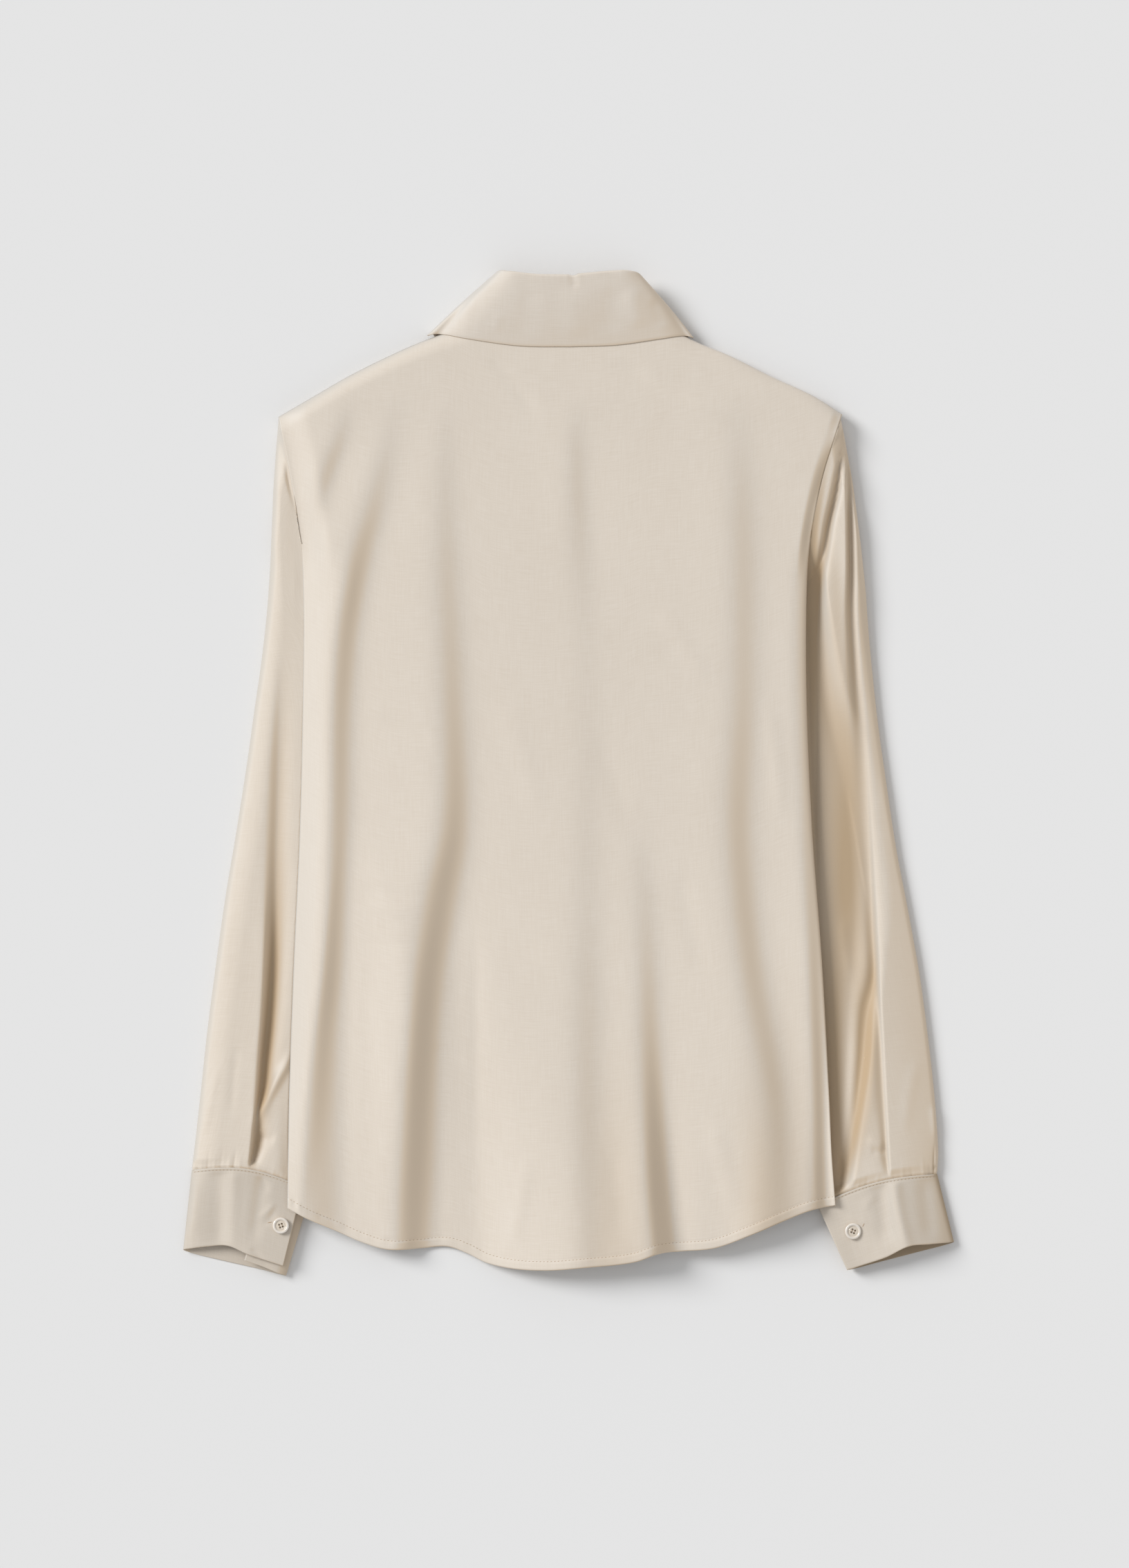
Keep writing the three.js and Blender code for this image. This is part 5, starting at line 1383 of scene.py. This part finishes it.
def clothMaterial(name, tint, roughness):
    g = Graph(name)
    cloth = g.node("UVMap", {"uv_map": "cloth"}, {})
    slub, length, thread = viscose["slub"], viscose["slubLength"], viscose["thread"]

    def streaks(across, along, detail):
        place = g.node("Mapping", {}, {"Vector": cloth, "Scale": (1 / across, 1 / along, 1)})
        return g.node("TexNoise", {}, {"Vector": place, "Scale": 1.0, "Detail": detail, "Roughness": 0.6})

    def tinted(key):
        return tuple(c * t for c, t in zip(viscose[key], (*tint, 1)))

    warp, weft = viscose["weave"]
    threads = streaks(slub, length, 2.0) * warp + streaks(length * 0.7, slub * 0.8, 2.0) * weft
    cloud = streaks(*viscose["cloud"], 3.0)
    fine = streaks(thread, thread * 1.6, 1.0)
    fromThreads, fromCloud, fromFine = viscose["tone"]
    evenly = (sum(viscose["tone"]) - 1) / 2
    tone = threads * fromThreads + cloud * fromCloud + fine * fromFine - evenly
    facing = g.node("NewGeometry", {}, {}, 1)
    right, up = [g.node("SeparateXYZ", {}, {0: facing}, output) for output in (0, 1)]

    def facingTo(one, other, key):
        share, less, begins, full = viscose[key]
        return g.between(one * share - other * less, begins, full, "SMOOTHSTEP")

    # Painted light by the way each face turns: warm shade on the sides away from the sun, a dimmer tone on
    # the steep sides facing it
    turned, toward = facingTo(right, up, "shadedSideFacing"), facingTo(up, right, "sunSideFacing")
    colour = g.mix(turned, g.mix(tone, tinted("dull"), tinted("lit")), tinted("slope"))
    # Painted shade from each piece's painted shade attribute
    colour = g.mix(g.attribute("paintedShade"), g.mix(toward, colour, tinted("sunSideDimming")), tinted("paintedShadeTint"))
    strength, distance, fineShare = viscose["bump"]
    return g.finish({
        "Base Color": colour, "Roughness": roughness + (threads - 0.5) * viscose["grain"],
        "Normal": g.bump(strength, distance, threads + fine * fineShare),
        "Sheen Weight": viscose["sheen"], "Sheen Roughness": 0.35, "Sheen Tint": viscose["sheenTint"],
        "Specular IOR Level": 0.42, "IOR": 1.46,
    })


thread = {"light": (0.56, 0.43, 0.30, 1), "dark": (0.36, 0.24, 0.14, 1), "twist": 0.0004}


def threadMaterial():
    g = Graph("sewing_thread")
    place = g.ownPlace()
    looks = {"Vector": place, "Scale": 0.3 / thread["twist"], "Distortion": 1.5}
    turns = g.node("TexWave", {"bands_direction": "DIAGONAL"}, looks)
    patches = g.node("TexNoise", {}, {"Vector": place, "Scale": 90.0, "Detail": 2.0})
    colour = g.mix(turns * 0.5 + patches * 0.5, thread["dark"], thread["light"])
    return g.finish({
        "Base Color": colour, "Roughness": 0.62, "Normal": g.bump(0.3, 0.0001, turns), "Sheen Weight": 0.2})


resin = {
    "pale": (0.88, 0.83, 0.77, 1),
    "pearl": (0.78, 0.70, 0.61, 1),
    "face": (0.76, 0.67, 0.56, 1),
    "roughness": 0.12,
    "cloud": 160.0,
}


def resinMaterial():
    g = Graph("clear_resin")
    place = g.ownPlace()
    looks = {"Vector": place, "Scale": resin["cloud"], "Detail": 3.0, "Roughness": 0.55, "Distortion": 1.2}
    cloud = g.node("TexNoise", {}, looks)
    fine = g.node("TexNoise", {}, {"Vector": place, "Scale": resin["cloud"] * 7, "Detail": 1.0})
    onRim = g.between(g.attribute("ring"), 0.62, 0.8)
    colour = g.mix(onRim, resin["face"], g.mix(cloud * 1.6 - 0.3, resin["pearl"], resin["pale"]))
    return g.finish({
        "Base Color": colour, "Roughness": resin["roughness"] + fine * 0.06,
        "Normal": g.bump(0.08, 0.0001, fine), "Coat Weight": 1.0, "Coat Roughness": 0.05, "IOR": 1.5})


bodyCloth = clothMaterial("viscose_satin", (1, 1, 1), viscose["roughness"])
sleeveCloth = clothMaterial("viscose_satin_sleeves", (1.0, 0.99, 0.975), viscose["roughness"])
fusedCloth = clothMaterial("fused_viscose", (0.985, 0.99, 1.0), viscose["fusedRoughness"])
cuffCloth = clothMaterial("fused_viscose_cuffs", (0.88, 0.875, 0.865), viscose["fusedRoughness"])
sewingThread = threadMaterial()
clearResin = resinMaterial()

# Floor, light and camera
studio = {
    "floor": 0.865,
    "floorSize": 12,
    "floorZ": -0.0004,
    "sunAngle": 26,
    "sunEnergy": 2.5,
    "sunFrom": (-0.765, 0.41, 0.51),
    "fill": 0.5,
    "lens": 200,
    "camera": (-0.003, -0.0074, 6.235),
    "farthest": 50,
}
bpy.ops.mesh.primitive_plane_add(size=studio["floorSize"], location=(0, 0, studio["floorZ"]))
floor = bpy.context.object
floor.name = "floor"
grey = (studio["floor"], studio["floor"], studio["floor"], 1)
floorLooks = {"Base Color": grey, "Roughness": 0.9, "Specular IOR Level": 0.1}
floor.data.materials.append(Graph("studio_floor").finish(floorLooks))
world = bpy.data.worlds.new("studio")
world.use_nodes = True
world.node_tree.nodes["Background"].inputs[0].default_value = (1, 1, 1, 1)
world.node_tree.nodes["Background"].inputs[1].default_value = studio["fill"]
scene.world = world
sun = linked("window", bpy.data.lights.new("window", "SUN"))
sun.data.energy = studio["sunEnergy"]
sun.data.angle = math.radians(studio["sunAngle"])
sun.rotation_euler = Vector(studio["sunFrom"]).to_track_quat("Z", "Y").to_euler()
camera = linked("camera", bpy.data.cameras.new("camera"))
camera.data.lens = studio["lens"]
camera.location = studio["camera"]
camera.data.clip_end = studio["farthest"]
scene.camera = camera
scene.view_settings.view_transform = "Standard"

# Each sheet: piece, node, material, slot, the cut's width and length in metres, its area, what is on it
sheets = (
    (backPiece, "back", bodyCloth, "viscose_satin", (0.43, 0.70), 0.245, [hemStitches]),
    (frontRight, "front_right", bodyCloth, "viscose_satin", (0.215, 0.64), 0.118, []),
    (frontLeft, "front_left", bodyCloth, "viscose_satin", (0.235, 0.64), 0.129, [buttonThreads]),
    (sleeveLeft, "sleeve_left", sleeveCloth, "viscose_satin", (0.21, 0.56), 0.092, []),
    (sleeveRight, "sleeve_right", sleeveCloth, "viscose_satin", (0.22, 0.57), 0.102, []),
    (cuffLeft, "cuff_left", cuffCloth, "fused_viscose", (0.215, 0.056), 0.0118, [leftStitches]),
    (cuffRight, "cuff_right", cuffCloth, "fused_viscose", (0.192, 0.056), 0.0105, [rightStitches]),
    (collarFall, "collar_fall", fusedCloth, "fused_viscose", (0.43, 0.056), 0.0226, []),
    (collarStand, "collar_stand", fusedCloth, "fused_viscose", (0.36, 0.03), 0.0102, []),
)
for piece, node, material, slot, flat, area, trims in sheets:
    piece.data.materials.append(material)
    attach(piece, "root")
    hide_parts(node)
    for trim in trims:
        trim.data.materials.append(sewingThread)
        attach(trim, "root")
for node, piece in buttons.items():
    piece.data.materials.clear()
    piece.data.materials.append(clearResin)
    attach(piece, "root")
    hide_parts(node)
print("materials")
